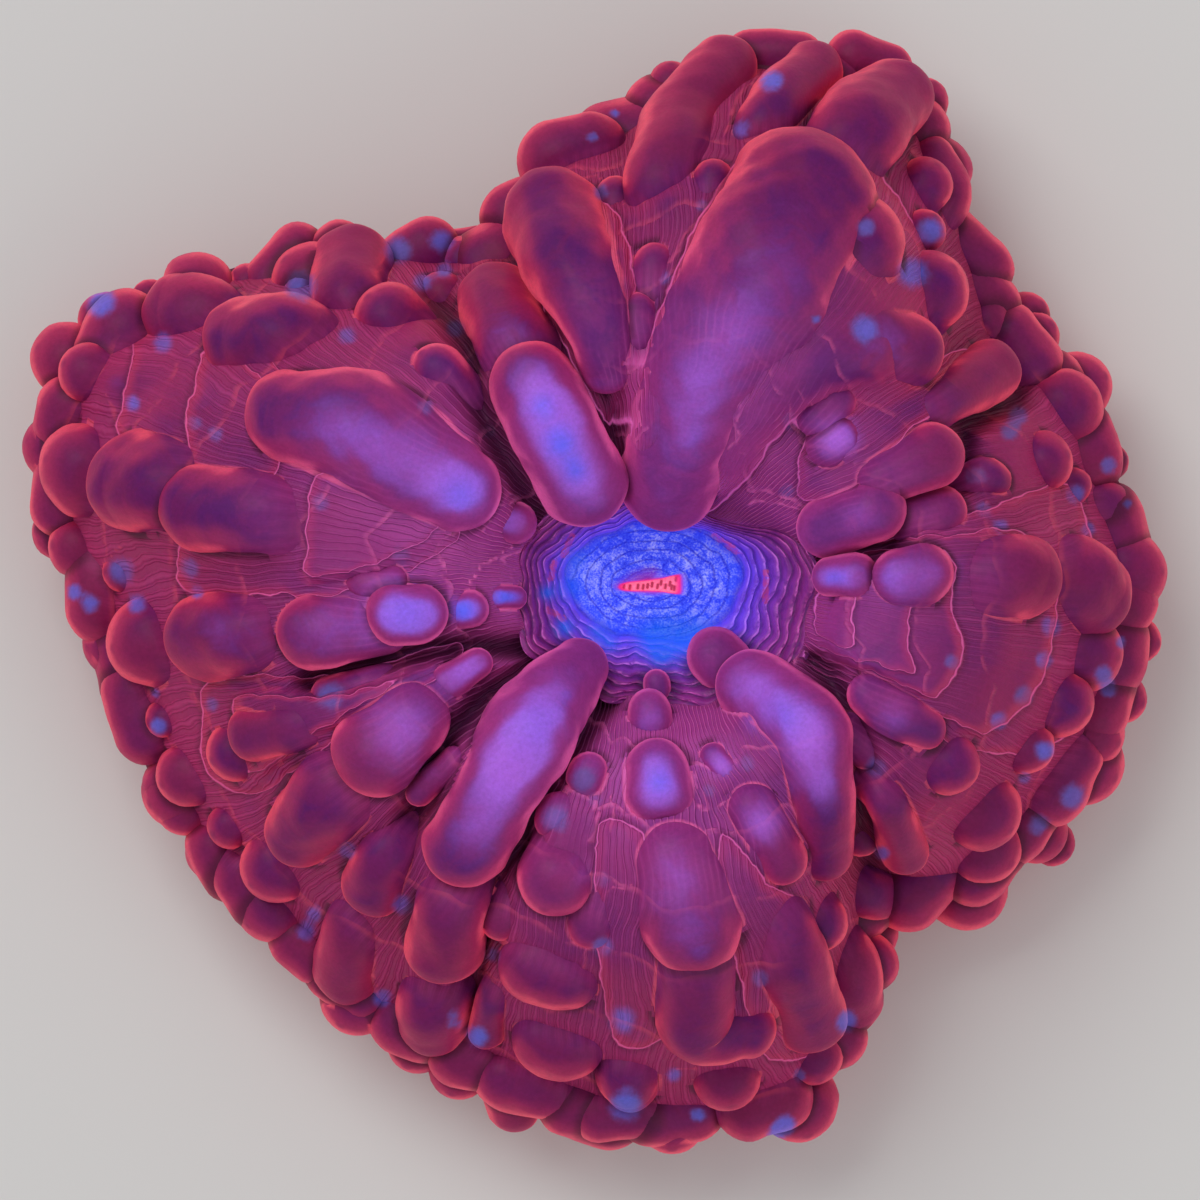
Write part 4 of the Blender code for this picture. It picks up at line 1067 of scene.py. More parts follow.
def spot_numbers(points):
    """The numbers that colour skin by its place, whichever piece it belongs to.

    The warts fade from 2 mm below the crown, so that they lie on top and not down the sides.
    """
    x, y, z = points.T
    top = soft_step(z - crown(x, y), -4.0, -2.0)
    return {
        "violet": glow(points, VIOLET), "blue": glow(points, BLUE), "bright": glow(points, WARTS),
        "outward": outward(x, y), "standing": standing(points),
        "wart": top * glow(points, [(*place, size, 1.0) for *place, size, _ in WARTS]),
    }


def bubble_cluster(name, members, material):
    """One piece of many bubbles, each closed, with the numbers that colour its skin.

    limb is 0 where the skin faces up and 1 where it stands upright, and sets the painted rim light;
    over and under are the distances to the nearest neighbours above and below, which set the
    painted shade and the painted bright contact lines.
    """
    surfaces, numbers, offset = [], [], 0
    cells = math.ceil(math.sqrt(len(members)))
    for made, index in enumerate(members):
        shape = bubbles[index]
        rings, centres, upper = bubble_rings(shape, 0.7 + 1.9 * index)
        points, walls, fans, wall_map, fan_map = closed_surface(rings)
        x, y = points[:, 0], points[:, 1]
        normal = grid_normals(rings)
        own = np.maximum(normal[..., 2], (normal * upper).sum(axis=-1))
        up = on_points(0.5 * normal[..., 2] + 0.5 * own)
        up[[0, -1]] = up[[1, -2]]
        limb = np.sqrt(np.clip(1 - up**2, 0, 1)) + (up < 0) * -up
        melted = melting(points, shape)
        own_tone = 0.2 + 0.4 * (index * 0.618 % 1)
        on_skin = np.column_stack([x, y, skin_top(x, y)])
        over, under = neighbours(points, on_points(centres)[:, 2], index)
        middle = math.atan2(shape[0][1], shape[0][0])
        bearing = middle + (np.arctan2(y, x) - middle + math.pi) % (2 * math.pi) - math.pi
        numbers.append({
            "limb": limb * (1 - 0.7 * melted), "over": over, "under": under,
            "merge": mantle_share(on_skin) * melted, "turns": pleat_count(x, y, bearing),
            "crossings": membrane_count(bearing, np.hypot(x, y) - lip_edge(bearing)),
            "fold": np.full(len(points), FAR),
            "tone": own_tone + (SKIN_TONE - own_tone) * melted, **spot_numbers(points),
        })
        corner = np.array([made % cells, made // cells]) + 0.03
        surfaces.append((
            points, walls + offset, fans + offset,
            (corner + 0.94 * wall_map) / cells, (corner + 0.94 * fan_map) / cells,
        ))
        offset += len(points)
    points, walls, fans, *bake_map = (np.concatenate(stack) for stack in zip(*surfaces))
    held = {label: np.concatenate([each[label] for each in numbers]) for label in numbers[0]}
    make_piece(name, points, walls, fans, held, {"OFBake": bake_map}, material)


def new_group(name, inputs, outputs):
    """A node group, its nodes and its inputs by name. Most of its sockets carry numbers."""
    group = bpy.data.node_groups.new(name, "ShaderNodeTree")
    kinds = {"Place": "Vector", "Skin": "Color", "Colour": "Color", "Glow": "Color"}
    for way, labels in (("INPUT", inputs), ("OUTPUT", outputs)):
        for label in labels:
            kind = "NodeSocket" + kinds.get(label, "Float")
            group.interface.new_socket(label, in_out=way, socket_type=kind)
    return group, Nodes(group), group.nodes.new("NodeGroupInput").outputs


def living_tissue():
    """The colours of inflated tissue, as a node group that every piece of the polyp uses.

    The top of a bubble shows its dark, cloudy inside, violet or blue near the mouth. Its side
    turns red, then ends in a thin bright edge, both painted rim light; it takes painted shade where a
    neighbour lies over it, and its edges and violet cores get a painted glow.
    """
    group, n, given = new_group(
        "living_tissue",
        ("Place", "Limb", "Over", "Under", "Violet", "Blue", "Outward", "Tone", "Wart", "Bright"),
        ("Colour", "Glow", "Height"),
    )
    place, limb = given["Place"], given["Limb"]
    cloud = n.noise(place, 420, 3, 0.6, 0.6)
    patch = n.noise(place, 150, 2, 0.5, 0.3)
    grain = n.noise(place, 3600, 3, 0.7)
    out = n.rise(given["Outward"], 0.25, 0.8)
    # the inside seen through the top
    inner = n.tint(out, (142, 54, 142), (106, 18, 90))
    dark = n.tint(out, (116, 44, 130), (88, 16, 97))
    top = n.blend(n.rise(cloud, 0.38, 0.62), inner, dark)
    warm = n.tint(out, (152, 50, 128), (128, 26, 80))
    top = n.blend(n.rise(n.math("ADD", patch, given["Tone"]), 0.7, 1.25), top, warm)
    top = n.cover(top, n.rise(given["Outward"], 0.84, 1.0), 0.7, shown(132, 28, 80))
    core = n.tint(given["Blue"], (160, 92, 208), (92, 98, 244))
    clear = n.times(given["Violet"], n.rise(limb, 0.95, 0.4))
    top = n.blend(n.rise(n.wavering(clear, cloud, 0.45), 0.05, 0.85), top, core)
    # the side and the bright edge: painted rim light, stronger where the skin stands upright
    side = n.tint(out, (176, 64, 144), (188, 46, 94))
    body = n.blend(n.math("POWER", n.rise(limb, 0.38, 1.0), 1.3), top, side)
    edge = n.tint(out, (238, 104, 176), (232, 80, 104))
    # painted rim light along the upright skin and where a neighbour below meets it
    bright = n.math("MAXIMUM", n.rise(limb, 0.8, 0.97), n.rise(given["Under"], 0.2, 0.03))
    bright = n.times(bright, n.rise(n.noise(place, 260, 2), 0.25, 0.6))
    body = n.cover(body, bright, 0.92, edge)
    # small bluish warts
    ragged = n.wavering(given["Wart"], n.noise(place, 1100, 3, 0.7), 0.5)
    wart = n.tint(given["Bright"], (104, 84, 158), (92, 108, 226))
    body = n.cover(body, n.rise(ragged, 0.3, 0.85), 0.8, wart)
    # shade under a neighbour
    body = n.cover(body, n.rise(given["Over"], 0.6, 0.0), 0.66, shown(60, 12, 40))
    speckle = n.scaled(grain, 0.5, 0.75)
    grey = n.add("ShaderNodeCombineColor", {0: speckle, 1: speckle, 2: speckle}).outputs[0]
    body = n.blend(1.0, body, grey, "MULTIPLY")
    # painted glow from the bright edges and the violet cores
    painted_glow = n.blend(n.scaled(bright, 0.5, n.times(clear, 0.5)), BLACK, body)
    height = n.scaled(cloud, 0.6, n.times(grain, 0.12))
    n.add("NodeGroupOutput", {"Colour": body, "Glow": painted_glow, "Height": height})
    return group


def pleated_tissue():
    """The colours of pleated skin, as a node group: pale crests on a darker ground.

    Crests lie where the pleats' count is half-way between whole numbers, and a membrane's bright
    edge where its own count passes a whole number. The pattern is calmer further out.
    """
    group, n, given = new_group(
        "pleated_tissue",
        ("Place", "Turns", "Crossings", "Outward", "Skin", "Under", "Standing", "Fold", "Limb"),
        ("Colour", "Crest", "Lines"),
    )
    place = given["Place"]
    out = n.rise(given["Outward"], 0.25, 0.8)
    broken = n.noise(place, 700, 3, 0.6)
    wander = n.noise(place, 480, 2)
    patch = n.noise(place, 190, 3, 0.6, 0.5)
    turn = n.scaled(wander, 0.7, given["Turns"])
    crests = []
    for count in (1.0, 2.0):
        off = n.math("SUBTRACT", n.math("FRACT", n.times(turn, count)), 0.5)
        crests.append(n.rise(n.math("ABSOLUTE", off), 0.24, 0.02))
    fine = n.times(crests[1], n.rise(given["Outward"], 0.4, 0.66))
    crest = n.math("MAXIMUM", crests[0], n.times(fine, 0.85))
    step = n.math("FRACT", n.scaled(wander, 0.12, given["Crossings"]))
    membrane = n.times(n.rise(step, 0.0, 0.02), n.rise(step, 0.12, 0.04))
    membrane = n.times(membrane, n.rise(broken, 0.35, 0.55))
    groove = n.blend(0.35, given["Skin"], n.tint(out, (180, 64, 146), (130, 34, 94)))
    pale = n.tint(out, (240, 112, 204), (214, 82, 146))
    pleat = n.blend(n.scaled(out, -0.16, 0.7), given["Skin"], pale)
    calm = n.scaled(out, -0.55, 1.0)
    calm = n.times(calm, n.scaled(n.rise(patch, 0.6, 0.4), 0.7, 0.2))
    calm = n.times(calm, n.scaled(n.rise(given["Limb"], 0.15, 0.6), 0.7, 0.6))
    share = n.times(n.scaled(broken, 1.2, 0.2), calm)
    share = n.scaled(crest, share, n.scaled(calm, -0.4, 0.5))
    colour = n.blend(share, groove, pleat)
    # painted shade in the valleys, where the skin lies below the blurred top round it
    colour = n.cover(colour, n.rise(given["Standing"], -0.8, -2.4), 0.5, shown(84, 16, 56))
    # the lines take a bright edge colour: membranes and folds, and a painted rim light where a bubble
    # under the skin comes up through it
    edge = n.tint(out, (244, 116, 190), (228, 84, 110))
    painted_contact_rim = n.times(n.rise(given["Under"], 0.2, 0.03), n.scaled(out, -0.5, 0.6))
    folded = n.rise(n.wavering(given["Fold"], broken, 0.12), 0.17, 0.04)
    folded = n.times(folded, n.rise(patch, 0.3, 0.5))
    lines = n.math("MAXIMUM", n.times(membrane, 0.55), painted_contact_rim)
    lines = n.math("MAXIMUM", lines, n.times(folded, 0.6))
    n.add("NodeGroupOutput", {
        "Colour": n.blend(lines, colour, edge), "Crest": n.math("MAXIMUM", crest, lines),
        "Lines": lines,
    })
    return group


def group_node(n, group, **fed):
    """A group in a material, and the place. Inputs that aren't fed take the numbers of their name."""
    fed["Place"] = n.add("ShaderNodeTexCoord", {}).outputs["Object"]
    for item in group.interface.items_tree:
        if item.in_out == "INPUT" and item.name not in fed:
            fed[item.name] = n.held(item.name.lower())
    return n.add("ShaderNodeGroup", fed, node_tree=group).outputs, fed["Place"]


def finish_skin(n, shader, colour, painted_glow, height, depth, emission=0.35, subsurface=0.25):
    """Feeds a Principled shader, with painted_glow as its emission colour, a painted glow, and the
    relief through a Bump node depth metres deep.
    """
    bump = n.add("ShaderNodeBump", {"Height": height, "Distance": depth, "Strength": 1.0})
    for label, socket in (
        ("Base Color", colour), ("Emission Color", painted_glow), ("Normal", bump.outputs["Normal"]),
    ):
        n.tree.links.new(socket, shader.inputs[label])
    shader.inputs["Emission Strength"].default_value = emission
    shader.inputs["Subsurface Weight"].default_value = subsurface
    shader.inputs["Subsurface Radius"].default_value = (1.0, 0.35, 0.45)
    shader.inputs["Subsurface Scale"].default_value = 0.0012


tissue = living_tissue()
pleats = pleated_tissue()
vesicle_skin, n, shader = skin_material("vesicle_skin", 0.5, 0.15)
skin, _ = group_node(n, tissue)
pleated, _ = group_node(n, pleats, Skin=skin["Colour"])
colour = n.blend(n.held("merge"), skin["Colour"], pleated["Colour"])
crest = n.times(pleated["Crest"], n.held("merge"))
# painted glow: the tissue's own painted glow, and the pleats' crests where a bubble melts into the
# skin
painted_glow = n.blend(n.times(crest, 0.5), skin["Glow"], colour)
finish_skin(n, shader, colour, painted_glow, skin["Height"], 0.00012)

first_half = [k for k, line in enumerate(middle_lines) if line[:, :2].mean(0).sum() > -2]
other_half = [k for k in range(len(bubbles)) if k not in first_half]
bubble_cluster("vesicles_north_east", first_half, vesicle_skin)
bubble_cluster("vesicles_south_west", other_half, vesicle_skin)

# The mantle is the cushion of flesh under the vesicles, from the lip round the oral disc, over the
# rim and in to the stony foot, which is cut off flat. Its skin is drawn up in fine radial pleats,
# crossed by a few scalloped membranes, and it dips into crevices between the lobes.
FOOT_RADIUS = 19.5
PLEAT_RISE = 0.1
MEMBRANE_RISE = 0.3
FOLD_RISE = 0.2
FOLD_WIDTH = 0.24
BASIN = 13.6  # height of the mantle's floor under the oral disc
# From the rim in to the foot, underneath: (share of the way, height).
UNDER_PROFILE = [
    (0.03, 7.4), (0.12, 6.2), (0.25, 5.2), (0.5, 3.9), (0.7, 3.1), (0.85, 2.6), (0.97, 1.9),
    (1.0, 0.9),
]


def turned_rings(rings, bearing):
    """Points of a surface from its rings, each given by its reach from the mouth and its height."""
    turned = np.stack([np.cos(bearing), np.sin(bearing)], axis=1)
    return np.stack([
        np.column_stack([turned * np.broadcast_to(reach, bearing.shape)[:, None], z + 0 * bearing])
        for reach, z in rings
    ])


def mantle_rings(around=1060, across=74, relief=1.0):
    """The mantle from a point under the oral disc out over the crown and in to a point in the foot.

    The top is skin_top, plus the pleats, a cosine of the pleats counted round the mouth, and the
    membranes, each a sharp step up and a slow fall. Underneath, a ring is a share of the way from
    the rim to the round foot.
    """
    bearing = -2 * math.pi * np.arange(around) / around
    lip, rim = lip_edge(bearing), outline(bearing) - SKIN_INSET
    edge = crown(lip * np.cos(bearing), lip * np.sin(bearing))
    rings = [(0, BASIN), (0.6 * lip, BASIN), (0.97 * lip, BASIN), (lip, BASIN + 0.4)]
    rings += [(lip, edge - 1.6), (lip, edge - 0.45), (lip + 0.04, edge - 0.2)]
    for share in np.linspace(0.008, 1, across):
        reach = lip + (rim - lip) * share
        x, y = reach * np.cos(bearing), reach * np.sin(bearing)
        pleat = PLEAT_RISE * (0.5 - 0.5 * np.cos(2 * math.pi * pleat_count(x, y, bearing)))
        step = membrane_count(bearing, reach - lip) % 1
        membrane = MEMBRANE_RISE * soft_step(step, 0, 0.07) * (1 - step) ** 2
        fade = soft_step(share, 0, 0.03) * (1 - soft_step(share, 0.86, 1)) * relief
        skin = skin_top(x, y)
        fold = FOLD_RISE * bell(fold_gap(x, y), FOLD_WIDTH) * relief
        fade = fade * pleated_share(np.stack([x, y, skin], axis=1))
        fade = fade * (1 - 0.7 * soft_step(outward(x, y), 0.35, 0.65))
        rings.append((reach, skin + fold + (pleat + membrane) * fade))
    rings += [(rim + (FOOT_RADIUS - rim) * share, height) for share, height in UNDER_PROFILE]
    rings += [(FOOT_RADIUS, 0), (0.5 * FOOT_RADIUS, 0), (0, 0)]
    return turned_rings(rings, bearing)


def plan_map(points, faces, corner_map, across, size, corner, under_from):
    """A map of faces as seen from above, with the underside in a strip beside it.

    The view from above, across mm wide, takes size of the map from its corner. The underside
    begins where the faces' own pattern map passes under_from.
    """
    plan = (points[faces][..., :2] / across + 0.5) * size + corner
    under = np.stack([corner_map[..., 0] * 0.99 + 0.005, corner_map[..., 1]], axis=-1)
    hidden = corner_map[..., 1].max(axis=-1) > under_from
    return np.where(hidden[:, None, None], under, plan)


rings = mantle_rings()
points, walls, fans, wall_map, fan_map = closed_surface(rings)
x, y = points[:, 0], points[:, 1]
bearing = np.arctan2(y, x)
wander = pleat_wander(x, y)
crossings = membrane_count(bearing, np.hypot(x, y) - lip_edge(bearing))
fold_map, bake_map = [], []
for corner_map, faces in ((wall_map, walls), (fan_map, fans)):
    turns = PLEATS * corner_map[..., 0] + wander[faces]
    fold_map.append(np.stack([turns, crossings[faces]], axis=-1))
    bake_map.append(plan_map(points, faces, corner_map, 84.0, 0.9, 0.005, 0.915))
over, under = neighbours(points, points[:, 2])
smooth_rings = mantle_rings(relief=0.0)
smooth = on_points(smooth_rings)
normal = on_points(grid_normals(smooth_rings))
way_out = points[:, :2] / np.maximum(np.hypot(x, y), 1.0)[:, None]
inward = soft_step(-(normal[:, :2] * way_out).sum(axis=1), -0.05, 0.3)
# limb sets the mantle's painted rim light; far out, slopes that face the mouth get less of it, a
# painted shade
limb = 0.9 * np.sqrt(np.clip(1 - normal[:, 2] ** 2, 0, 1))
mantle_numbers = {
    **spot_numbers(points), "limb": limb * (1 - 0.6 * inward * far_out(x, y)),
    "merge": mantle_share(smooth), "standing": standing(smooth), "steps": flap_count(x, y),
    "fold": fold_gap(x, y), "tone": np.full(len(points), SKIN_TONE), "over": over, "under": under,
    "trench": bell(line_gap(x, y, CREVICES), CREVICE_WIDTH),
}

mantle_skin, n, shader = skin_material("mantle_skin", 0.5, 0.15)
counts = n.add("ShaderNodeUVMap", {}, uv_map="folds").outputs["UV"]
counts = n.add("ShaderNodeSeparateXYZ", {"Vector": counts}).outputs
skin, place = group_node(n, tissue)
pleated, _ = group_node(n, pleats, Turns=counts["X"], Crossings=counts["Y"], Skin=skin["Colour"])
share = n.math("MAXIMUM", n.held("merge"), n.times(pleated["Lines"], 0.8))
crest = n.times(pleated["Crest"], share)
colour = n.blend(share, skin["Colour"], pleated["Colour"])
# painted shade under a neighbouring bubble, and in the crevices between the lobes
colour = n.cover(colour, n.rise(n.held("over"), 0.6, 0.0), 0.5, shown(58, 12, 40))
colour = n.cover(colour, n.held("trench"), 0.7, shown(34, 6, 22))
# the terraces: a painted shade below each step, painted light on the face above it, and a painted
# bright rim line along it
broken = n.noise(place, 700, 3, 0.6)
out = n.rise(n.held("outward"), 0.25, 0.8)
terrace = n.wavering(n.math("FRACT", n.held("steps")), broken, 0.06)
painted_step_shade = n.times(n.rise(terrace, 0.3, 0.46), n.rise(terrace, 0.5, 0.46))
colour = n.cover(colour, painted_step_shade, 0.35, shown(74, 14, 52))
# painted light on the face above each step
above = n.times(n.rise(terrace, 0.48, 0.52), n.rise(terrace, 0.86, 0.5))
colour = n.cover(colour, above, 0.6, n.tint(out, (182, 62, 140), (196, 54, 96)))
painted_step_rim = n.rise(n.math("ABSOLUTE", n.math("SUBTRACT", terrace, 0.5)), 0.045, 0.008)
painted_step_rim = n.times(painted_step_rim, n.rise(n.noise(place, 150, 2), 0.2, 0.45))
colour = n.cover(colour, painted_step_rim, 0.75, n.tint(out, (232, 112, 200), (226, 90, 150)))
# the painted rim line also raises the relief and feeds the painted glow
crest = n.math("MAXIMUM", crest, painted_step_rim)
# the stony foot
height = n.add("ShaderNodeSeparateXYZ", {"Vector": place}).outputs["Z"]
stony = n.rise(n.scaled(broken, 0.002, height), 0.0042, 0.0022)
stone = n.tint(n.rise(broken, 0.3, 0.7), (150, 132, 118), (206, 196, 178))
colour = n.blend(stony, colour, stone)
# painted glow from the pleats' crests and the painted step rims
painted_glow = n.blend(n.times(crest, 0.5), BLACK, colour)
finish_skin(n, shader, colour, painted_glow, crest, 0.00018)
mantle_maps = {"folds": fold_map, "OFBake": bake_map}
make_piece("mantle", points, walls, fans, mantle_numbers, mantle_maps, mantle_skin)

# The oral disc is the thin skin across the pit: a speckled blue zone round the mouth, then a few
# scalloped folds that climb to the mantle's lip. The mouth is a slit between low lips, and its pale
# pink floor is dotted along the middle. The disc hangs from the mantle's lip.
ZONE_CENTRE = (0.35, 0.1)
ZONE_HALF = (5.5, 3.7)  # half length and half width of the blue zone
DISC_HEIGHT = 15.9
FOLD_COUNT = 7
MOUTH_ENDS = (-1.86, 1.99)
MOUTH_WIDE = [
    (-1.86, 0.05), (-1.7, 0.19), (-1.2, 0.28), (0.0, 0.33), (0.9, 0.42), (1.5, 0.56), (1.9, 0.6),
    (1.99, 0.42),
]
MOUTH_LOW = 0.25  # how far its middle lies below the middle of the folds
# Dark ridges along the mouth's floor: (x, y).
MOUTH_DOTS = [
    (-1.58, -0.06), (-1.19, -0.1), (-0.69, -0.06), (-0.36, -0.08), (-0.08, -0.02), (0.2, 0.06),
    (0.54, -0.04), (0.76, 0.18), (1.04, -0.04), (1.32, 0.12), (1.43, -0.1), (1.71, 0.42),
    (1.6, -0.16),
]
# Orange streaks between the folds, each along the points (x, y).
STREAKS = [
    [(-4.8, 2.85), (-5.34, 1.63)], [(-6.3, -1.76), (-5.34, -2.3)], [(7.34, 0.54), (7.3, -1.2)],
    [(4.16, 2.85), (5.5, 1.9)], [(-5.9, 1.2), (-6.1, 0.2)],
]
# Where the zone is a clear deep blue: (x, y, spread, strength).
CLEAR_BLUE = [
    (1.6, -3.6, 1.5, 1.0), (0.2, -3.5, 1.2, 0.7), (3.2, -3.3, 1.0, 0.8), (-5.3, -2.9, 0.6, 1.0),
    (-6.4, -0.7, 0.45, 1.0), (-5.0, -0.4, 0.9, 0.6), (-4.6, 1.4, 0.8, 0.5), (-3.2, -3.2, 0.8, 0.7),
    (0.7, -4.7, 0.6, 0.6), (-2.4, -3.9, 0.6, 0.6),
]


def mouth_edge(bearing):
    """Distance from the mouth's middle to its edge: where a line at the bearing leaves the slit.

    The slit's half width grows from its left end to its right end, round a line that rises a
    little to the right. The distance is found by stepping outwards until the place lies outside.
    """
    reach = np.linspace(0, 2.2, 221)[:, None]
    x, y = reach * np.cos(bearing), reach * np.sin(bearing)
    half = np.interp(x, *np.array(MOUTH_WIDE).T)
    inside = (x > MOUTH_ENDS[0]) & (x < MOUTH_ENDS[1]) & (np.abs(y - 0.045 * x) < half)
    found = 0.01 * (np.cumprod(inside, axis=0).sum(axis=0) + 1)
    return np.mean([np.roll(found, step) for step in range(-2, 3)], axis=0)


def zone_edge(bearing):
    """Distance from the mouth to the blue zone's edge: an ellipse moved off the mouth, wavering."""
    moved = ZONE_CENTRE[0] * np.cos(bearing) + ZONE_CENTRE[1] * np.sin(bearing)
    across = np.hypot(np.cos(bearing) / ZONE_HALF[0], np.sin(bearing) / ZONE_HALF[1])
    return (1 / across + moved) * (1 + 0.025 * np.sin(5 * bearing) + 0.02 * np.sin(11 * bearing))


def fold_turns(bearing, t):
    """How many folds lie between the zone's edge and a place a share t of the way to the lip."""
    scallops = 0.2 * np.sin(7 * bearing + 5 * t) + 0.14 * np.sin(13 * bearing - 7 * t + 1.0)
    fine = 0.09 * np.sin(23 * bearing + 9 * t + 2.0) + 0.05 * np.sin(41 * bearing - 6 * t)
    drift = 0.34 * np.sin(3 * bearing + 0.7) + 0.24 * np.sin(5 * bearing + 2.9)
    return FOLD_COUNT * t + (scallops + fine + drift) * soft_step(t, 0, 0.25)


def disc_rings(around=520):
    """The disc from the mouth's floor out to under the mantle's lip, closed underneath.

    Each ring is a share of the way from one outline to the next: the mouth's edge, the zone's edge
    and the lip. The folds are steps: the height climbs by even shares, with each share gathered
    into the first part of its fold. With the points comes each ring's part of the way: below 0 in
    the mouth, up to 1 in the zone and up to 2 in the folds.
    """
    bearing = -2 * math.pi * np.arange(around) / around
    mouth, zone, lip = mouth_edge(bearing), zone_edge(bearing), lip_edge(bearing)
    top = crown(lip * np.cos(bearing), lip * np.sin(bearing)) - 0.3
    mouth_floor, low = DISC_HEIGHT - 0.3, DISC_HEIGHT - 0.75
    rings = [(0, mouth_floor, 0)]
    for share in np.linspace(0.06, 1, 28):
        rings.append((mouth * share, mouth_floor + 0.34 * soft_step(share, 0.86, 1.0), share - 1))
    for share in np.linspace(0, 1, 34)[1:]:
        reach = mouth + (zone - mouth) * share
        upper = 0.35 + 0.35 * soft_step(np.sin(bearing - 0.35), -0.1, 0.9)
        lips = upper * bell(reach - mouth - 0.36, 0.32)
        dip = 0.75 * soft_step(share, 0.1, 1)
        ripple = 0.035 * np.sin(share * 30 + 1.2 * np.sin(2 * bearing))
        rings.append((reach, DISC_HEIGHT + lips - dip + ripple, share))
    for t in np.linspace(0, 1.12, 60)[1:]:
        turns = fold_turns(bearing, t)
        whole, part = np.floor(turns), turns % 1
        fade = 1 - soft_step(t, 0.93, 1.05)
        stepped = (whole + soft_step(part, 0, 0.55) - turns) / FOLD_COUNT
        climb = t + 0.7 * stepped * fade
        fold = 0.12 * np.sin(math.pi * part) * fade
        height = low + (top - low) * np.minimum(climb, 1) + fold
        rings.append((zone + (lip - zone) * t, height, 1 + t))
    last = rings[-1][0]
    rings.append((last, top - 1.2, 2.2))
    rings += [(last * share, BASIN - 0.6, 2.2) for share in (0.98, 0.5, 0.0)]
    stacked = turned_rings([(reach, z) for reach, z, _ in rings], bearing)
    parts = np.array([part for _, _, part in rings])[:, None] + 0 * bearing
    stacked[..., 1] -= MOUTH_LOW * (1 - soft_step(parts, 0, 1)) * (parts < 1)
    return stacked, parts


def nearness(points, lines, width):
    """1 on any of the lines and 0 beyond a width of them, with a soft fall between."""
    return soft_step(line_gap(points[:, 0], points[:, 1], lines), width, 0.3 * width)


rings, parts = disc_rings()
points, walls, fans, wall_map, fan_map = closed_surface(rings)
x, y, part_way = points[:, 0], points[:, 1], on_points(parts)
bearing = np.arctan2(y, x)
dots = [
    [(dot_x, dot_y - MOUTH_LOW - 0.1), (dot_x + 0.03, dot_y - MOUTH_LOW + 0.1)]
    for dot_x, dot_y in MOUTH_DOTS
]
disc_numbers = {
    "part": part_way, "over": neighbours(points, np.full(len(points), -FAR))[0],
    "turns": fold_turns(bearing, np.clip(part_way - 1, 0, 2)),
    "rings": np.hypot(x - 0.1, 1.5 * (y + 0.2)), "side": np.sin(bearing - 0.35),
    "dots": nearness(points, dots, 0.15), "streak": nearness(points, STREAKS, 0.36),
    "clear": glow(points, CLEAR_BLUE),
}
disc_map = [
    plan_map(points, faces, corner_map, 30.0, 0.94, 0.01, 0.965)
    for corner_map, faces in ((wall_map, walls), (fan_map, fans))
]

disc_skin, n, shader = skin_material("disc_skin", 0.45, 0.25)
place = n.add("ShaderNodeTexCoord", {}).outputs["Object"]
part = n.held("part")
grain = n.noise(place, 8200, 2, 0.6)
blot = n.noise(place, 1100, 3, 0.6, 0.8)
slow = n.noise(place, 420, 2)
# the blue zone: speckles in three blues, crossed by fine dark rings
speckle = n.add("ShaderNodeValToRGB", {"Fac": n.scaled(blot, 0.6, n.times(grain, 0.52))})
stops = speckle.color_ramp.elements
stops[0].position, stops[0].color = 0.36, shown(30, 36, 204)
stops[1].position, stops[1].color = 0.72, shown(156, 164, 255)
stops.new(0.53).color = shown(62, 84, 246)
zone = n.cover(speckle.outputs["Color"], n.rise(part, 0.6, 1.0), 0.5, shown(46, 70, 232))
ring = n.math("FRACT", n.times(n.scaled(slow, 1.3, n.held("rings")), 1.15))
off = n.math("ABSOLUTE", n.math("SUBTRACT", ring, 0.5))
dark_ring = n.times(n.times(n.rise(off, 0.14, 0.02), 0.6), n.rise(blot, 0.3, 0.5))
zone = n.blend(dark_ring, zone, shown(28, 22, 176))
zone = n.cover(zone, n.held("clear"), 0.8, n.tint(grain, (8, 60, 196), (24, 116, 236)))
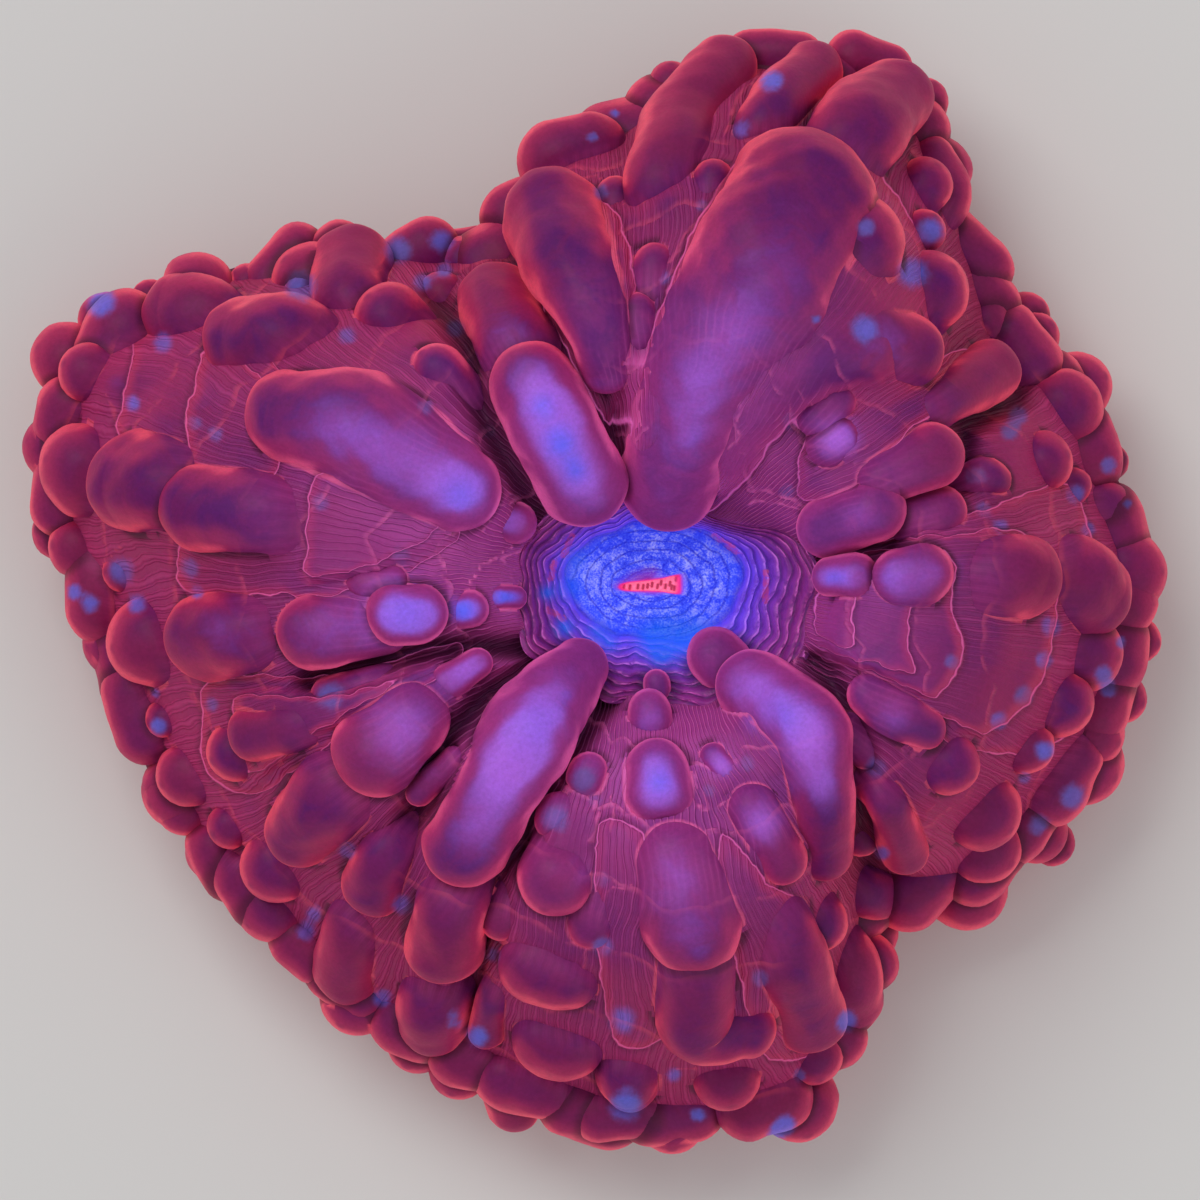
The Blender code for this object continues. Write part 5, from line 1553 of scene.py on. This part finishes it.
# the folds: blue violet by the zone, then purple and magenta, with pale edges
fold = n.math("FRACT", n.scaled(blot, 0.3, n.held("turns")))
way = n.rise(part, 1.05, 1.95)
ground = n.tint(way, (60, 36, 166), (112, 30, 112))
face = n.tint(way, (104, 66, 214), (160, 56, 150))
folds = n.blend(n.rise(fold, 0.05, 0.5), ground, face)
pale = n.times(n.rise(fold, 0.74, 0.9), n.rise(fold, 1.0, 0.93))
pale_colour = n.tint(way, (156, 112, 246), (236, 112, 214))
folds = n.cover(folds, pale, n.rise(blot, 0.34, 0.62), pale_colour)
folds = n.cover(folds, n.rise(blot, 0.5, 0.36), 0.3, shown(84, 30, 130))
torn = n.wavering(n.held("streak"), n.noise(place, 2600, 3, 0.7), 2.6)
folds = n.cover(folds, n.rise(torn, 0.4, 1.2), 0.6, shown(190, 58, 100))
folds = n.cover(folds, n.held("clear"), 0.8, shown(24, 100, 232))
colour = n.blend(n.rise(n.scaled(blot, 0.2, part), 0.95, 1.2), zone, folds)
# the lips and the mouth's floor
upper = n.rise(n.held("side"), -0.1, 0.8)
lip_share = n.math("DIVIDE", part, n.scaled(upper, 0.18, 0.14))
lip_colour = n.tint(upper, (128, 80, 226), (138, 44, 158))
colour = n.cover(colour, n.rise(lip_share, 1.0, 0.1), 0.8, lip_colour)
floor_pink = n.tint(grain, (244, 74, 128), (255, 150, 186))
floor_pink = n.cover(floor_pink, n.held("dots"), 0.9, shown(150, 16, 58))
floor_pink = n.blend(n.rise(part, -0.22, -0.02), floor_pink, shown(226, 52, 140))
colour = n.blend(n.rise(part, 0.05, -0.03), colour, floor_pink)
# painted shade where a vesicle hangs over the disc
colour = n.cover(colour, n.rise(n.held("over"), 1.0, 0.0), 0.7, shown(44, 12, 60))
# painted glow from the mouth, the blue zone and the inner folds
painted_glow = n.blend(n.rise(part, 1.8, 1.0), BLACK, colour)
relief = n.scaled(n.math("SUBTRACT", blot, dark_ring), 0.6, n.times(grain, 0.4))
finish_skin(n, shader, colour, painted_glow, relief, 0.0001, emission=0.5, subsurface=0.1)
make_piece("oral_disc", points, walls, fans, disc_numbers, {"OFBake": disc_map}, disc_skin)
